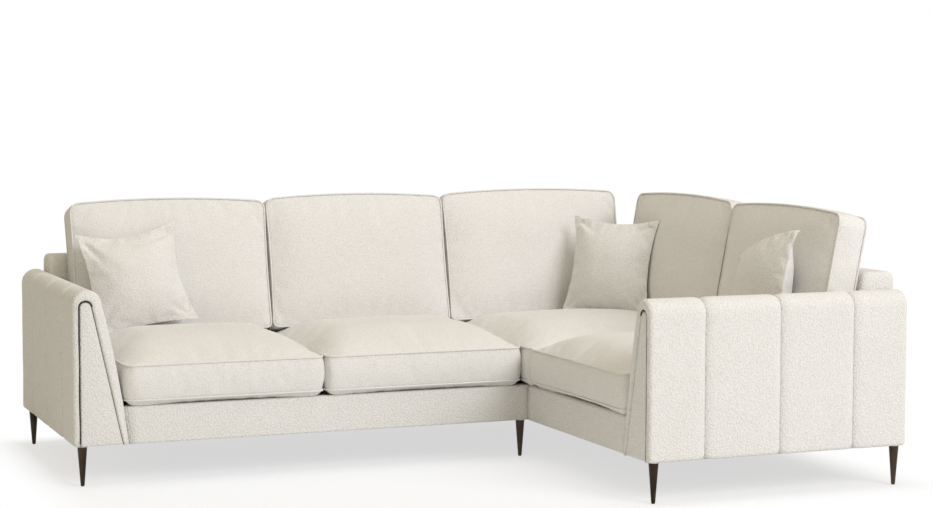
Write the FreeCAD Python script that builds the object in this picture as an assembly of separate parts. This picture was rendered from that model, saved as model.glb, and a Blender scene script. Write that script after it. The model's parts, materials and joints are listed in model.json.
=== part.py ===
import FreeCAD, Part
import math
import os

# Corner sofa: a long run along the back and a short return on the right.
# X runs along the long side, Y from the front to the back, Z up.
# The origin is on the floor under the middle of the whole footprint.
# All sizes are in millimetres.

Vec = FreeCAD.Vector

# Overall footprint and heights
overall_width = 2530.0
overall_depth = 1880.0
run_depth = 940.0
arm_height = 640.0
leg_height = 132.0
rail_top = 256.0
frame_top = 696.0

# Seat and back cushions
seat_welt_low = 277.0
seat_welt_high = 390.0
seat_crown = 58.0
seat_overhang = 12.0
corner_seat_overhang = 43.0
seat_front_radius = 42.0
seat_draw = 4.0
seat_crown_span = 260.0
seat_under_rise = 5.0
seat_under_inset = 34.0
seat_arm_tuck = 16.0
seat_join_left = 852.0
seat_join_step = 13.0
welt_tuck = 2.0
cushion_gap = 6.0
back_border = 100.0
back_front_crown = 26.0
back_rear_crown = 16.0
crown_under_long = 0.57
crown_under_return = 0.6
back_rest_long = 0.24
back_rest_return = 0.2
back_bottom_sag = 0.5
back_top_bulge = 12.0
back_corner_radius = 40.0
back_crown_span = 180.0
back_draw = 4.0
lean_long = 12.0
lean_return = 10.5
soft_clearance = 0.3
least_sag = 0.5
arm_clearance = 1.0

# Arm section, measured from its outer face inwards
arm_base_width = 184.0
arm_top_radius = 50.0
arm_inner_radius = 46.4
arm_shoulder_angle = 7.0
arm_inner_crown = 7.5
arm_edge_roll = 14.0
arm_foot_radius = 12.0
channel_stops = [200.0, 470.0, 740.0]
channel_depth = 7.0
pad_outer = 29.0
pad_top = 37.0
pad_inner_top = 31.0
pad_inner_base = 20.0
panel_gap = 1.6
panel_recess = 3.0
panel_thickness = 22.0
rear_panel_thickness = 9.0
former_thickness = 30.0
arm_rail_thickness = 30.0
arm_rail_height = 60.0
arm_top_rail_height = 50.0
arm_rail_step = 52.0
panel_edge = 2.5
arm_gap = 0.5

# Base frame
cover_setback = 8.0
cover_pad = 18.0
cover_top_pad = 6.0
cover_bottom_pad = 2.0
cover_top_radius = 9.0
cover_edge = 3.0
rail_thickness = 28.0
back_rail_thickness = 44.0
strap_thickness = 2.0
strap_width = 60.0
strap_pitch = 125.0
strap_setback = 4.0
strap_margin = 20.0
strap_rows = 4
deck_setback = 4.0
dust_cloth = 1.0
unit_gap = 0.3
corner_block = 70.0
corner_block_height = 40.0

# Back frames
frame_inset = 79.0
frame_wall = 20.0
frame_thickness = 125.0
frame_radius = 25.0
frame_end_radius = 18.0
shell_rear = 12.0
shell_pad = 22.0
shell_lift = 6.0
back_former_thickness = 24.0
back_rail_height = 60.0
back_rail_lift = 20.0
back_former_gap = 2.0
corner_former_gap = 5.0

# Legs and fixings
leg_top_radius = 16.0
leg_foot_radius = 6.5
leg_side_inset = 34.0
leg_rear_inset = 25.0
leg_corner_step = 5.0
leg_rail_shift = 8.0
leg_plate = 2.5
leg_plate_radius = 19.0
glide_height = 3.0
glide_radius = 5.5
stud_radius = 4.0
stud_length = 34.0
bolt_radius = 4.0
bolt_head_radius = 8.0
bolt_head = 4.0
hole_clearance = 0.2
bolt_rise = 60.0
arm_bolt_rise = 30.0
arm_bolt_start = 50.0
join_bolt_inset = 130.0

# Scatter cushions
scatter_half = 185.0
scatter_fill = 58.0
scatter_draw = 17.0
scatter_tip_radius = 7.0
scatter_span = 120.0

# Back cushions: rise of each top welt above the frame, and where they start, meet and end
long_back_rises = [190.0, 197.0, 204.0]
return_back_rises = [200.0, 194.0]
back_arm_tuck = 44.0
side_back_tuck = 98.0
back_join_left = 861.0
back_join_step = 28.0
side_back_join = 150.0
back_corner_clear = 110.0
side_back_clear = 99.0

# Scatter cushions: steps from the arm, from the backs and from the seat's crown
scatter_arm_step = -29.0
scatter_back_step = 62.6
scatter_side_step = 55.4
scatter_corner_steps = [107.5, 205.3]
scatter_crown_shares = [0.86, 1.0, 0.9]
scatter_drops = [3.28, 6.1, -10.6]

# Scatter cushions: heading, lean, roll and droop of one corner
scatter_turns = [(0.0, 16.0, 6.0, 0.0), (55.0, 12.0, -1.0, 0.0), (90.0, 14.0, 5.0, 45.0)]

# Places that follow from the sizes above
left_x = -overall_width / 2
right_x = overall_width / 2
rear_y = overall_depth / 2
near_y = -overall_depth / 2
front_y = rear_y - run_depth
return_x = right_x - run_depth
timber_bottom = leg_height + cover_bottom_pad
timber_top = rail_top - cover_top_pad - 2 * strap_thickness
strap_base = timber_top
deck_base = timber_top + 2 * strap_thickness
base_inner = arm_base_width + arm_gap


def box(x0, x1, y0, y1, z0, z1):
    """A block between two opposite corners."""
    return Part.makeBox(x1 - x0, y1 - y0, z1 - z0, Vec(x0, y0, z0))


def arc(a, b, c):
    """An edge that bends through three points."""
    return Part.Arc(a, b, c).toShape()


def line(a, b):
    """A straight edge."""
    return Part.LineSegment(a, b).toShape()


def bent(a, b, sag, inward):
    """An edge from a to b whose middle stands off by sag along inward."""
    held = math.copysign(max(abs(sag), least_sag), sag)
    return arc(a, (a + b) * 0.5 + inward * held, b)


def unit(vector):
    """The same direction with length one."""
    return vector * (1.0 / vector.Length)


def save(name, shape):
    """Write one named piece."""
    shape.exportStep(os.path.join("parts", name + ".step"))


def group(shapes):
    """Separate solids that share one node."""
    return Part.makeCompound(shapes)


def to_return(shape):
    """Turn a piece drawn for the long run so that it serves the return."""
    turned = shape.copy()
    turned.rotate(Vec(0, 0, 0), Vec(0, 0, 1), -90)
    turned.translate(Vec(right_x, 0, 0))
    return turned


def to_long(shape):
    """Shift a piece drawn from the rear plane into the long run."""
    moved = shape.copy()
    moved.translate(Vec(0, rear_y, 0))
    return moved


def to_left_arm(shape):
    """Place an arm piece drawn at the origin as the left arm."""
    moved = shape.copy()
    moved.translate(Vec(left_x, front_y, 0))
    return moved


def to_right_arm(shape):
    """Place the mirrored arm piece at the near end of the return."""
    swapped = shape.mirror(Vec(0, 0, 0), Vec(1, -1, 0))
    swapped.translate(Vec(return_x, near_y, 0))
    return swapped


# Arm section
# Every arm wire has the same six edges, so that lofts between them stay even.

def arm_inner_points(tuck):
    """Top, middle and bottom points of the arm's slanted inner face."""
    angle = math.radians(arm_shoulder_angle)
    reach = arm_inner_radius - tuck
    centre_z = arm_height - arm_inner_radius
    top = Vec(arm_top_radius + reach * math.cos(angle), 0, centre_z + reach * math.sin(angle))
    foot = Vec(arm_base_width - tuck, 0, leg_height)
    across = unit(foot - top)
    outward = Vec(-across.z, 0, across.x)
    return top, (top + foot) * 0.5 + outward * arm_inner_crown, foot


def arm_wire(depth, outer_tuck, inner_tuck):
    """The arm's closed outline at one depth, tucked in at a seam or an edge."""
    radius = arm_top_radius - outer_tuck
    centre_z = arm_height - arm_top_radius
    diagonal = math.sqrt(0.5)
    top, middle, foot = arm_inner_points(inner_tuck)
    base = leg_height + 0.7 * outer_tuck
    foot.z = leg_height + 0.7 * inner_tuck
    shoulder = Vec(outer_tuck, 0, centre_z)
    apex = Vec(arm_top_radius, 0, arm_height - outer_tuck)
    outer_mid = Vec(arm_top_radius - radius * diagonal, 0, centre_z + radius * diagonal)
    reach = arm_inner_radius - (outer_tuck + inner_tuck) / 2
    inner_z = arm_height - arm_inner_radius
    inner_mid = Vec(arm_top_radius + reach * diagonal, 0, inner_z + reach * diagonal)
    heel = Vec(outer_tuck + arm_foot_radius, 0, base)
    rise = Vec(outer_tuck, 0, base + arm_foot_radius)
    curl = arm_foot_radius * (1 - diagonal)
    heel_mid = Vec(outer_tuck + curl, 0, base + curl)
    edges = [
        line(rise, shoulder),
        arc(shoulder, outer_mid, apex),
        arc(apex, inner_mid, top),
        arc(top, middle, foot),
        line(foot, heel),
        arc(heel, heel_mid, rise),
    ]
    wire = Part.Wire(edges)
    wire.translate(Vec(0, depth, 0))
    return wire


def channel_tucks(start, end, from_seam, to_seam):
    """Depths and tucks of one padded channel between two stops."""
    width = end - start
    steps = [(0.0, 1.0), (0.08, 0.38), (0.25, 0.06), (0.5, 0.0)]
    rows = []
    for share, tuck in steps:
        rows.append((start + share * width, tuck * channel_depth * from_seam))
    for share, tuck in reversed(steps[:-1]):
        rows.append((end - share * width, tuck * channel_depth * to_seam))
    return rows


def edge_roll(depth, direction):
    """The rounded rim of the arm at its front or its back."""
    wires = []
    for step in range(4):
        angle = math.radians(30.0 * step)
        tuck = arm_edge_roll * (1 - math.cos(angle))
        inset = arm_edge_roll * (1 - math.sin(angle))
        wires.append(arm_wire(depth + direction * inset, tuck, tuck))
    return Part.makeLoft(wires, True, True)


def arm_body():
    """The whole upholstered arm as one solid, channels and rolled rims."""
    start = arm_edge_roll
    stops = [start] + channel_stops + [run_depth - arm_edge_roll]
    last = len(stops) - 2
    solids = [edge_roll(0.0, 1), edge_roll(run_depth, -1)]
    for index in range(len(stops) - 1):
        from_seam = 0 if index == 0 else 1
        to_seam = 0 if index == last else 1
        rows = channel_tucks(stops[index], stops[index + 1], from_seam, to_seam)
        wires = [arm_wire(depth, tuck, 0.0) for depth, tuck in rows]
        solids.append(Part.makeLoft(wires, True, True))
    body = solids[0].fuse(solids[1:])
    return body.removeSplitter()


def cavity_points(margin):
    """Corners of the hollow inside the arm pad, shrunk by a margin."""
    top, middle, foot = arm_inner_points(0.0)
    left = pad_outer + margin
    right = top.x - pad_inner_top - margin
    radius = (right - left) / 2
    spring = arm_height - pad_top - margin - radius
    low = leg_height + margin
    return left, right, radius, spring, arm_base_width - pad_inner_base - margin, low


def cavity_face(margin, drop):
    """The hollow's outline as a face in the arm's section plane."""
    left, right, radius, spring, foot, low = cavity_points(margin)
    bottom = low - drop
    slope = (foot - right) / (spring - low)
    wide = foot + slope * drop
    arch_top = Vec(left + radius, 0, spring + radius)
    edges = [
        line(Vec(left, 0, bottom), Vec(left, 0, spring)),
        arc(Vec(left, 0, spring), arch_top, Vec(right, 0, spring)),
        line(Vec(right, 0, spring), Vec(wide, 0, bottom)),
        line(Vec(wide, 0, bottom), Vec(left, 0, bottom)),
    ]
    return Part.Face(Part.Wire(edges))


def slab(face, start, end):
    """A face drawn in the section plane, pushed from one depth to another."""
    shape = face.copy()
    shape.translate(Vec(0, start, 0))
    return shape.extrude(Vec(0, end - start, 0))


def arm_pad():
    """Channelled pad that wraps the arm: outer side, top and inner side."""
    tunnel = slab(cavity_face(0.0, 20.0), -1.0, run_depth + 1.0)
    pad = arm_body().cut(tunnel)
    for hole in arm_bolt_cylinders(bolt_radius + hole_clearance):
        pad = pad.cut(hole)
    return pad


def arm_panel(start, thickness):
    """Inset end panel with a soft front edge."""
    panel = slab(cavity_face(panel_gap, 0.0), start, start + thickness)
    rim = []
    for edge in panel.Edges:
        spots = [vertex.Point.y for vertex in edge.Vertexes]
        if max(spots) < start + 0.1:
            rim.append(edge)
    return panel.makeFillet(panel_edge, rim)


def former_depths():
    """Where the front, middle and rear formers of an arm begin."""
    first = panel_recess + panel_thickness
    last = run_depth - panel_recess - rear_panel_thickness - former_thickness
    return first, (first + last) / 2, last


def arm_formers():
    """Shaped boards that give the arm its section."""
    face = cavity_face(0.0, -cover_bottom_pad)
    boards = [slab(face, start, start + former_thickness) for start in former_depths()]
    studs = arm_stud_cylinders(stud_radius + hole_clearance)
    return [board.cut(studs) for board in boards]


def arm_rails():
    """Rails that tie the arm's formers together, three in each bay."""
    first, middle, last = former_depths()
    left, right, radius, spring, foot, low = cavity_points(0.0)
    bays = [(first + former_thickness, middle), (middle + former_thickness, last)]
    inner = foot - arm_rail_step
    thick = arm_rail_thickness
    top = timber_bottom + arm_rail_height
    holes = arm_bolt_cylinders(bolt_radius + hole_clearance)
    rails = []
    for start, end in bays:
        rails.append(box(left, right, start, end, spring - arm_top_rail_height, spring))
        rails.append(box(left, left + thick, start, end, timber_bottom, top))
        rail = box(inner, inner + thick, start, end, timber_bottom, top)
        rails.append(rail.cut(holes))
    return rails


def arm_bolt_cylinders(radius):
    """Bolts that hold the arm to the base frame, drawn in arm space."""
    foot = arm_base_width - pad_inner_base
    height = timber_bottom + arm_bolt_rise
    bolts = []
    for share in (0.3, 0.7):
        spot = Vec(foot - arm_bolt_start, run_depth * share, height)
        reach = base_inner + rail_thickness - spot.x
        bolts.append(Part.makeCylinder(radius, reach, spot, Vec(1, 0, 0)))
    return bolts


def arm_bolts():
    """Arm bolts with their round heads inside the base frame."""
    pieces = []
    for shank in arm_bolt_cylinders(bolt_radius):
        bounds = shank.BoundBox
        spot = Vec(bounds.XMax, bounds.Center.y, bounds.Center.z)
        head = Part.makeCylinder(bolt_head_radius, bolt_head, spot, Vec(1, 0, 0))
        pieces.append(shank.fuse(head).removeSplitter())
    return pieces


def arm_stud_cylinders(radius):
    """The two leg studs under one arm, drawn in arm space."""
    studs = []
    for depth in (leg_side_inset, run_depth - leg_rear_inset):
        spot = Vec(leg_side_inset, depth, leg_height)
        studs.append(Part.makeCylinder(radius, stud_length, spot))
    return studs


# Base frame
# Base and back pieces are drawn with Y running from the rear plane, so the
# same functions serve the long run and, after a quarter turn, the return.

cover_front = -run_depth + cover_setback
timber_front = cover_front + cover_pad


def rail_cover(start, end):
    """Padded band over the front rail, with lips over and under the timber."""
    top = rail_top
    low = leg_height
    lip_end = timber_front + rail_thickness
    radius = cover_top_radius
    curl = radius * (1 - math.sqrt(0.5))
    edges = [
        line(Vec(0, cover_front + cover_edge, low), Vec(0, lip_end, low)),
        line(Vec(0, lip_end, low), Vec(0, lip_end, low + cover_bottom_pad)),
        line(Vec(0, lip_end, low + cover_bottom_pad), Vec(0, timber_front, low + cover_bottom_pad)),
        line(Vec(0, timber_front, low + cover_bottom_pad), Vec(0, timber_front, top - cover_top_pad)),
        line(Vec(0, timber_front, top - cover_top_pad), Vec(0, lip_end, top - cover_top_pad)),
        line(Vec(0, lip_end, top - cover_top_pad), Vec(0, lip_end, top)),
        line(Vec(0, lip_end, top), Vec(0, cover_front + radius, top)),
        arc(
            Vec(0, cover_front + radius, top),
            Vec(0, cover_front + curl, top - curl),
            Vec(0, cover_front, top - radius),
        ),
        line(Vec(0, cover_front, top - radius), Vec(0, cover_front, low + cover_edge)),
        line(Vec(0, cover_front, low + cover_edge), Vec(0, cover_front + cover_edge, low)),
    ]
    face = Part.Face(Part.Wire(edges))
    face.translate(Vec(start, 0, 0))
    return face.extrude(Vec(end - start, 0, 0))


def front_rail(start, end):
    """Timber rail behind the padded band."""
    return box(start, end, timber_front, timber_front + rail_thickness, timber_bottom, timber_top)


def back_rail(start, end):
    """Timber rail that carries the back frame."""
    return box(start, end, -shell_rear - back_rail_thickness, -shell_rear, timber_bottom, timber_top)


def cross_members(spans):
    """Timbers that join the front rail to the back rail."""
    near = timber_front + rail_thickness
    far = -shell_rear - back_rail_thickness
    return [box(start, end, near, far, timber_bottom, timber_top) for start, end in spans]


def glue_blocks(places):
    """Triangular blocks glued into the corners of the base frame."""
    near = timber_front + rail_thickness
    far = -shell_rear - back_rail_thickness
    pieces = []
    for corner_x, side in places:
        for corner_y, turn in ((near, 1), (far, -1)):
            corner = Vec(corner_x, corner_y, timber_bottom)
            along = corner + Vec(side * corner_block, 0, 0)
            across = corner + Vec(0, turn * corner_block, 0)
            face = Part.Face(Part.makePolygon([corner, along, across, corner]))
            pieces.append(face.extrude(Vec(0, 0, corner_block_height)))
    return pieces


def seat_straps(start, end):
    """Elastic straps stretched over the base, front to back and crosswise."""
    near = timber_front + strap_setback
    far = -shell_rear - rail_thickness - unit_gap
    count = int((end - start - strap_width) // strap_pitch)
    spread = (end - start - strap_width) / count
    straps = []
    for index in range(count + 1):
        place = start + index * spread
        straps.append(box(place, place + strap_width, near, far, strap_base, strap_base + strap_thickness))
    lowest = strap_base + strap_thickness
    room = far - near - 2 * rail_thickness - strap_width - 4 * strap_margin
    for index in range(strap_rows):
        place = near + rail_thickness + strap_margin + index * room / (strap_rows - 1)
        straps.append(box(start, end, place, place + strap_width, lowest, deck_base))
    return straps


def deck(start, end):
    """Felt deck that the seat cushions lie on."""
    near = timber_front + rail_thickness + unit_gap
    far = -shell_rear - back_rail_thickness - deck_setback
    return box(start, end, near, far, deck_base, rail_top)


def dust_cover(start, end):
    """Thin cloth stapled under the base."""
    near = timber_front + rail_thickness + unit_gap
    top = timber_bottom
    return box(start, end, near, -shell_rear - unit_gap, top - dust_cloth, top)


# Back frames

def lean_run(lean, height):
    """How far a raked face moves forward between the frame's top and a height."""
    return (frame_top - frame_radius - height) * math.tan(math.radians(lean))


def shell_outline(lean):
    """Outside of an upholstered back: upright rear, rolled top, raked front."""
    low = rail_top + shell_lift
    radius = frame_radius
    curl = radius * (1 - math.sqrt(0.5))
    top = frame_top
    rake = math.radians(lean)
    front = -frame_thickness
    foot = front - lean_run(lean, low)
    centre = Vec(0, front + radius / math.cos(rake), top - radius)
    middle = math.radians(135.0) - rake / 2
    shoulder = centre + Vec(0, -math.cos(rake), math.sin(rake)) * radius
    halfway = centre + Vec(0, math.cos(middle), math.sin(middle)) * radius
    edges = [
        line(Vec(0, 0, leg_height), Vec(0, 0, top - radius)),
        arc(Vec(0, 0, top - radius), Vec(0, -curl, top - curl), Vec(0, -radius, top)),
        line(Vec(0, -radius, top), centre + Vec(0, 0, radius)),
        arc(centre + Vec(0, 0, radius), halfway, shoulder),
        line(shoulder, Vec(0, foot, low)),
        line(Vec(0, foot, low), Vec(0, foot, leg_height)),
        line(Vec(0, foot, leg_height), Vec(0, 0, leg_height)),
    ]
    return Part.Face(Part.Wire(edges))


def hollow_points(lean, margin):
    """Corners of the hollow inside an upholstered back."""
    high = frame_top - shell_pad - margin
    low = rail_top + shell_lift
    inner_front = -frame_thickness + shell_pad + margin
    slope = math.tan(math.radians(lean))
    top_front = inner_front + (high - frame_top + frame_radius) * slope
    foot_front = inner_front - lean_run(lean, low)
    return high, low, top_front, foot_front


def push_x(points, start, end):
    """A closed outline of points pushed along X."""
    face = Part.Face(Part.makePolygon(points + [points[0]]))
    face.translate(Vec(start, 0, 0))
    return face.extrude(Vec(end - start, 0, 0))


def shell_block(lean, start, end, free_end=None):
    """Solid outside form of one back, with only its rear cover below the seat."""
    face = shell_outline(lean)
    face.translate(Vec(start, 0, 0))
    block = face.extrude(Vec(end - start, 0, 0))
    if free_end is not None:
        block = round_end(block, free_end)
    low = rail_top + shell_lift
    under = box(start - 1.0, end + 1.0, -run_depth, -shell_rear, leg_height - 1.0, low)
    return block.cut(under)


def back_hollow(lean, start, end):
    """The space inside one back."""
    high, low, top_front, foot_front = hollow_points(lean, 0.0)
    points = [
        Vec(0, -shell_rear, low - 1.0),
        Vec(0, -shell_rear, high),
        Vec(0, top_front, high),
        Vec(0, foot_front, low),
        Vec(0, foot_front, low - 1.0),
    ]
    return push_x(points, start, end)


def round_end(block, place):
    """Soften the rim of a free end of a back."""
    rim = []
    for edge in block.Edges:
        bounds = edge.BoundBox
        flat = bounds.XMax - bounds.XMin < 0.01
        if flat and abs(bounds.XMin - place) < 0.01 and bounds.ZMax > rail_top + shell_lift + 1.0:
            rim.append(edge)
    return block.makeFillet(frame_end_radius, rim)


def back_formers(lean, places):
    """Upright boards with the back's section, standing on the base."""
    high, low, top_front, foot_front = hollow_points(lean, unit_gap)
    tongue = -shell_rear - rail_thickness
    points = [
        Vec(0, -shell_rear, timber_top),
        Vec(0, -shell_rear, high),
        Vec(0, top_front, high),
        Vec(0, foot_front, low),
        Vec(0, tongue, low),
        Vec(0, tongue, timber_top),
    ]
    boards = []
    for place in places:
        boards.append(push_x(points, place, place + back_former_thickness))
    return boards


def back_rails(places):
    """Top and lower rails between the formers of one back."""
    high = frame_top - shell_pad - unit_gap
    low = rail_top + shell_lift + back_rail_lift
    pieces = []
    for index in range(len(places) - 1):
        start = places[index] + back_former_thickness
        end = places[index + 1]
        far = -shell_rear
        near = far - rail_thickness
        pieces.append(box(start, end, near, far, high - back_rail_height, high))
        pieces.append(box(start, end, near, far, low, low + back_rail_height))
    return pieces


# Cushions

def outline_wire(corners, sags, inset, radius, height):
    """A soft four sided outline: sagging sides and rounded corners."""
    tucked = []
    for index in range(4):
        here = corners[index]
        ahead = unit(corners[(index + 1) % 4] - here)
        behind = unit(corners[(index + 3) % 4] - here)
        tucked.append(here + (ahead + behind) * inset)
    sides = [(tucked[index] - tucked[index - 1]).Length for index in range(4)]
    radius = min(radius, 0.44 * min(sides))
    starts = []
    ends = []
    for index in range(4):
        here = tucked[index]
        ahead = unit(tucked[(index + 1) % 4] - here)
        behind = unit(tucked[(index + 3) % 4] - here)
        ends.append(here + behind * radius)
        starts.append(here + ahead * radius)
    edges = []
    for index in range(4):
        following = (index + 1) % 4
        side = unit(tucked[following] - tucked[index])
        inward = Vec(-side.y, side.x, 0)
        edges.append(bent(starts[index], ends[following], sags[index], inward))
        knee = (ends[following] + starts[following]) * 0.25 + tucked[following] * 0.5
        edges.append(arc(ends[following], knee, starts[following]))
    wire = Part.Wire(edges)
    wire.translate(Vec(0, 0, height))
    return wire


def stack(corners, sags, rows):
    """A closed soft form through outlines at rising heights."""
    wires = []
    for height, inset, radius, pull in rows:
        pulled = [sag * max(pull, 0.01) for sag in sags]
        wires.append(outline_wire(corners, pulled, inset, radius, height))
    return Part.makeLoft(wires, True, True)


def crown_rows(base, rise, radius, span):
    """Rows of a domed face that leaves its welt at height base."""
    rows = []
    for share in (0.07, 0.18, 0.35, 0.6, 1.0):
        height = base + rise * (1 - (1 - share) ** 2.4)
        rows.append((height, span * share, radius + 0.12 * span * share, 1 - share))
    return rows


def mirrored(rows):
    """The same rows on the other side of height zero, rising."""
    return [(-height, inset, radius, pull) for height, inset, radius, pull in reversed(rows)]


def rectangle(x0, x1, y0, y1):
    """Four corners, counterclockwise."""
    return [Vec(x0, y0, 0), Vec(x1, y0, 0), Vec(x1, y1, 0), Vec(x0, y1, 0)]


def seat_cushion(x0, x1, y0, y1):
    """Boxed seat cushion: rounded underside, bowed border, crowned top."""
    low = rail_top + soft_clearance
    middle = (seat_welt_low + seat_welt_high) / 2
    radius = seat_front_radius
    rows = [
        (low, seat_under_inset, radius, 0.0),
        (low + seat_under_rise, seat_under_inset / 3, radius, 0.4),
        (seat_welt_low, welt_tuck, radius, 1.0),
        (middle, 0.0, radius, 1.0),
        (seat_welt_high, welt_tuck, radius, 1.0),
    ]
    rows += crown_rows(seat_welt_high, seat_crown, radius, seat_crown_span)
    sags = [seat_draw] * 4
    return stack(rectangle(x0, x1, y0, y1), sags, rows)


def back_cushion(start, end, welt_top, welt_low, lean):
    """Boxed back cushion drawn against the raked front of a back frame."""
    angle = math.radians(lean)
    anchor_z = frame_top - frame_radius
    rear_welt = soft_clearance + back_rear_crown
    front_welt = rear_welt + back_border
    low = (welt_low - anchor_z - front_welt * math.sin(angle)) / math.cos(angle)
    high = (welt_top - anchor_z - front_welt * math.sin(angle)) / math.cos(angle)
    radius = back_corner_radius
    rear = crown_rows(0.0, back_rear_crown, radius, back_crown_span)
    rows = []
    for height, inset, turn, pull in mirrored(rear):
        rows.append((rear_welt + height, inset, turn, pull))
    rows += [
        (rear_welt, welt_tuck, radius, 1.0),
        (rear_welt + back_border / 2, 0.0, radius, 1.0),
        (front_welt, welt_tuck, radius, 1.0),
    ]
    rows += crown_rows(front_welt, back_front_crown, radius, back_crown_span)
    sags = [back_bottom_sag, back_draw, -back_top_bulge, back_draw]
    form = stack(rectangle(start, end, low, high), sags, rows)
    across = Vec(1, 0, 0)
    up = Vec(0, math.sin(angle), math.cos(angle))
    out = Vec(0, -math.cos(angle), math.sin(angle))
    return placed(form, Vec(0, -frame_thickness, anchor_z), across, up, out)


def placed(form, origin, across, up, out):
    """Stand a form drawn flat on three directions at a place."""
    matrix = FreeCAD.Matrix(
        across.x, up.x, out.x, origin.x,
        across.y, up.y, out.y, origin.y,
        across.z, up.z, out.z, origin.z,
        0, 0, 0, 1,
    )
    form.Placement = FreeCAD.Placement(matrix)
    return form


def scatter_cushion(centre, heading, lean, roll, droop):
    """Knife edged cushion with pulled out corners, leaning back."""
    turn = math.radians(roll)
    tips = []
    for side, level in ((-1, -1), (1, -1), (1, 1), (-1, 1)):
        flat_x = side * scatter_half
        flat_y = level * scatter_half
        if side < 0 and level > 0:
            flat_y -= droop
        across = flat_x * math.cos(turn) - flat_y * math.sin(turn)
        height = flat_x * math.sin(turn) + flat_y * math.cos(turn)
        tips.append(Vec(across, height, 0))
    rows = []
    for share in (0.1, 0.25, 0.5, 1.0):
        height = scatter_fill * (1 - (1 - share) ** 2.2)
        inset = scatter_span * share
        radius = scatter_tip_radius + 0.42 * inset
        rows.append((height, inset, radius, (1 - share) ** 2))
    edge = [(0.0, 0.0, scatter_tip_radius, 1.0)]
    sags = [least_sag, scatter_draw, scatter_draw, scatter_draw]
    form = stack(tips, sags, mirrored(rows) + edge + rows)
    aim = math.radians(heading)
    tilt = math.radians(lean)
    level_out = Vec(-math.sin(aim), -math.cos(aim), 0)
    out = level_out * math.cos(tilt) + Vec(0, 0, math.sin(tilt))
    up = Vec(0, 0, math.cos(tilt)) - level_out * math.sin(tilt)
    return placed(form, centre, up.cross(out), up, out)


# Legs

def leg(x, y):
    """Round tapered leg under its plate."""
    height = leg_height - leg_plate - glide_height
    return Part.makeCone(leg_foot_radius, leg_top_radius, height, Vec(x, y, glide_height))


def disc(x, y, low, height, radius):
    """An upright cylinder."""
    return Part.makeCylinder(radius, height, Vec(x, y, low))


def leg_places():
    """Every leg with its name and place."""
    rail_line = front_y + cover_setback + cover_pad + rail_thickness / 2
    rear_line = rear_y - shell_rear - back_rail_thickness / 2
    side_line = right_x - shell_rear - back_rail_thickness / 2
    corner_x = return_x - leg_corner_step
    return {
        "leg_left_front": (left_x + leg_side_inset, front_y + leg_side_inset),
        "leg_left_rear": (left_x + leg_side_inset, rear_y - leg_rear_inset),
        "leg_inner_corner": (corner_x, rail_line),
        "leg_rear_middle": (corner_x, rear_line),
        "leg_rear_corner": (side_line + leg_rail_shift, rear_line),
        "leg_side_middle": (side_line + leg_rail_shift, front_y - rail_thickness),
        "leg_return_front": (return_x + leg_side_inset, near_y + leg_side_inset),
        "leg_return_rear": (right_x - leg_rear_inset, near_y + leg_side_inset),
    }


def save_legs(places):
    """Write the legs, their plates, studs and floor glides."""
    plates = []
    glides = []
    for name, (x, y) in places.items():
        save(name, leg(x, y))
        plate = disc(x, y, leg_height - leg_plate, leg_plate, leg_plate_radius)
        stud = disc(x, y, leg_height, stud_length, stud_radius)
        plates.append(plate.fuse(stud).removeSplitter())
        glides.append(disc(x, y, 0.0, glide_height, glide_radius))
    save("leg_plates", group(plates))
    save("floor_glides", group(glides))


def stud_holes(places):
    """Clearance holes for every leg stud."""
    radius = stud_radius + hole_clearance
    holes = [disc(x, y, leg_height, stud_length + 0.5, radius) for x, y in places.values()]
    return group(holes)


def joining_bolts(radius, head):
    """Bolts that clamp the return to the long run, front to back."""
    start = front_y - unit_gap - rail_thickness
    end = front_y + cover_setback + cover_pad + rail_thickness
    bolts = []
    middle = (return_x + right_x) / 2
    for x in (return_x + join_bolt_inset, middle, right_x - join_bolt_inset):
        spot = Vec(x, start, timber_bottom + bolt_rise)
        bolt = Part.makeCylinder(radius, end - start, spot, Vec(0, 1, 0))
        if head:
            cap = Part.makeCylinder(bolt_head_radius, bolt_head, spot, Vec(0, -1, 0))
            nut = Part.makeCylinder(bolt_head_radius, bolt_head, Vec(x, end, spot.z), Vec(0, 1, 0))
            bolt = bolt.fuse([cap, nut]).removeSplitter()
        bolts.append(bolt)
    return bolts


def save_arms():
    """Write both arms, piece by piece."""
    pieces = {
        "arm_pad": arm_pad(),
        "arm_front_panel": arm_panel(panel_recess, panel_thickness),
        "arm_formers": group(arm_formers()),
        "arm_rails": group(arm_rails()),
        "arm_bolts": group(arm_bolts()),
    }
    rear = arm_panel(panel_recess, rear_panel_thickness).mirror(Vec(0, run_depth / 2, 0), Vec(0, 1, 0))
    pieces["arm_rear_panel"] = rear
    for name, shape in pieces.items():
        save("left_" + name, to_left_arm(shape))
        save("right_" + name, to_right_arm(shape))


def arm_bolt_holes(run):
    """Clearance holes for the bolts of the arm at the end of a run."""
    holes = group(arm_bolt_cylinders(bolt_radius + hole_clearance))
    return to_left_arm(holes) if run == "long" else to_right_arm(holes)


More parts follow.
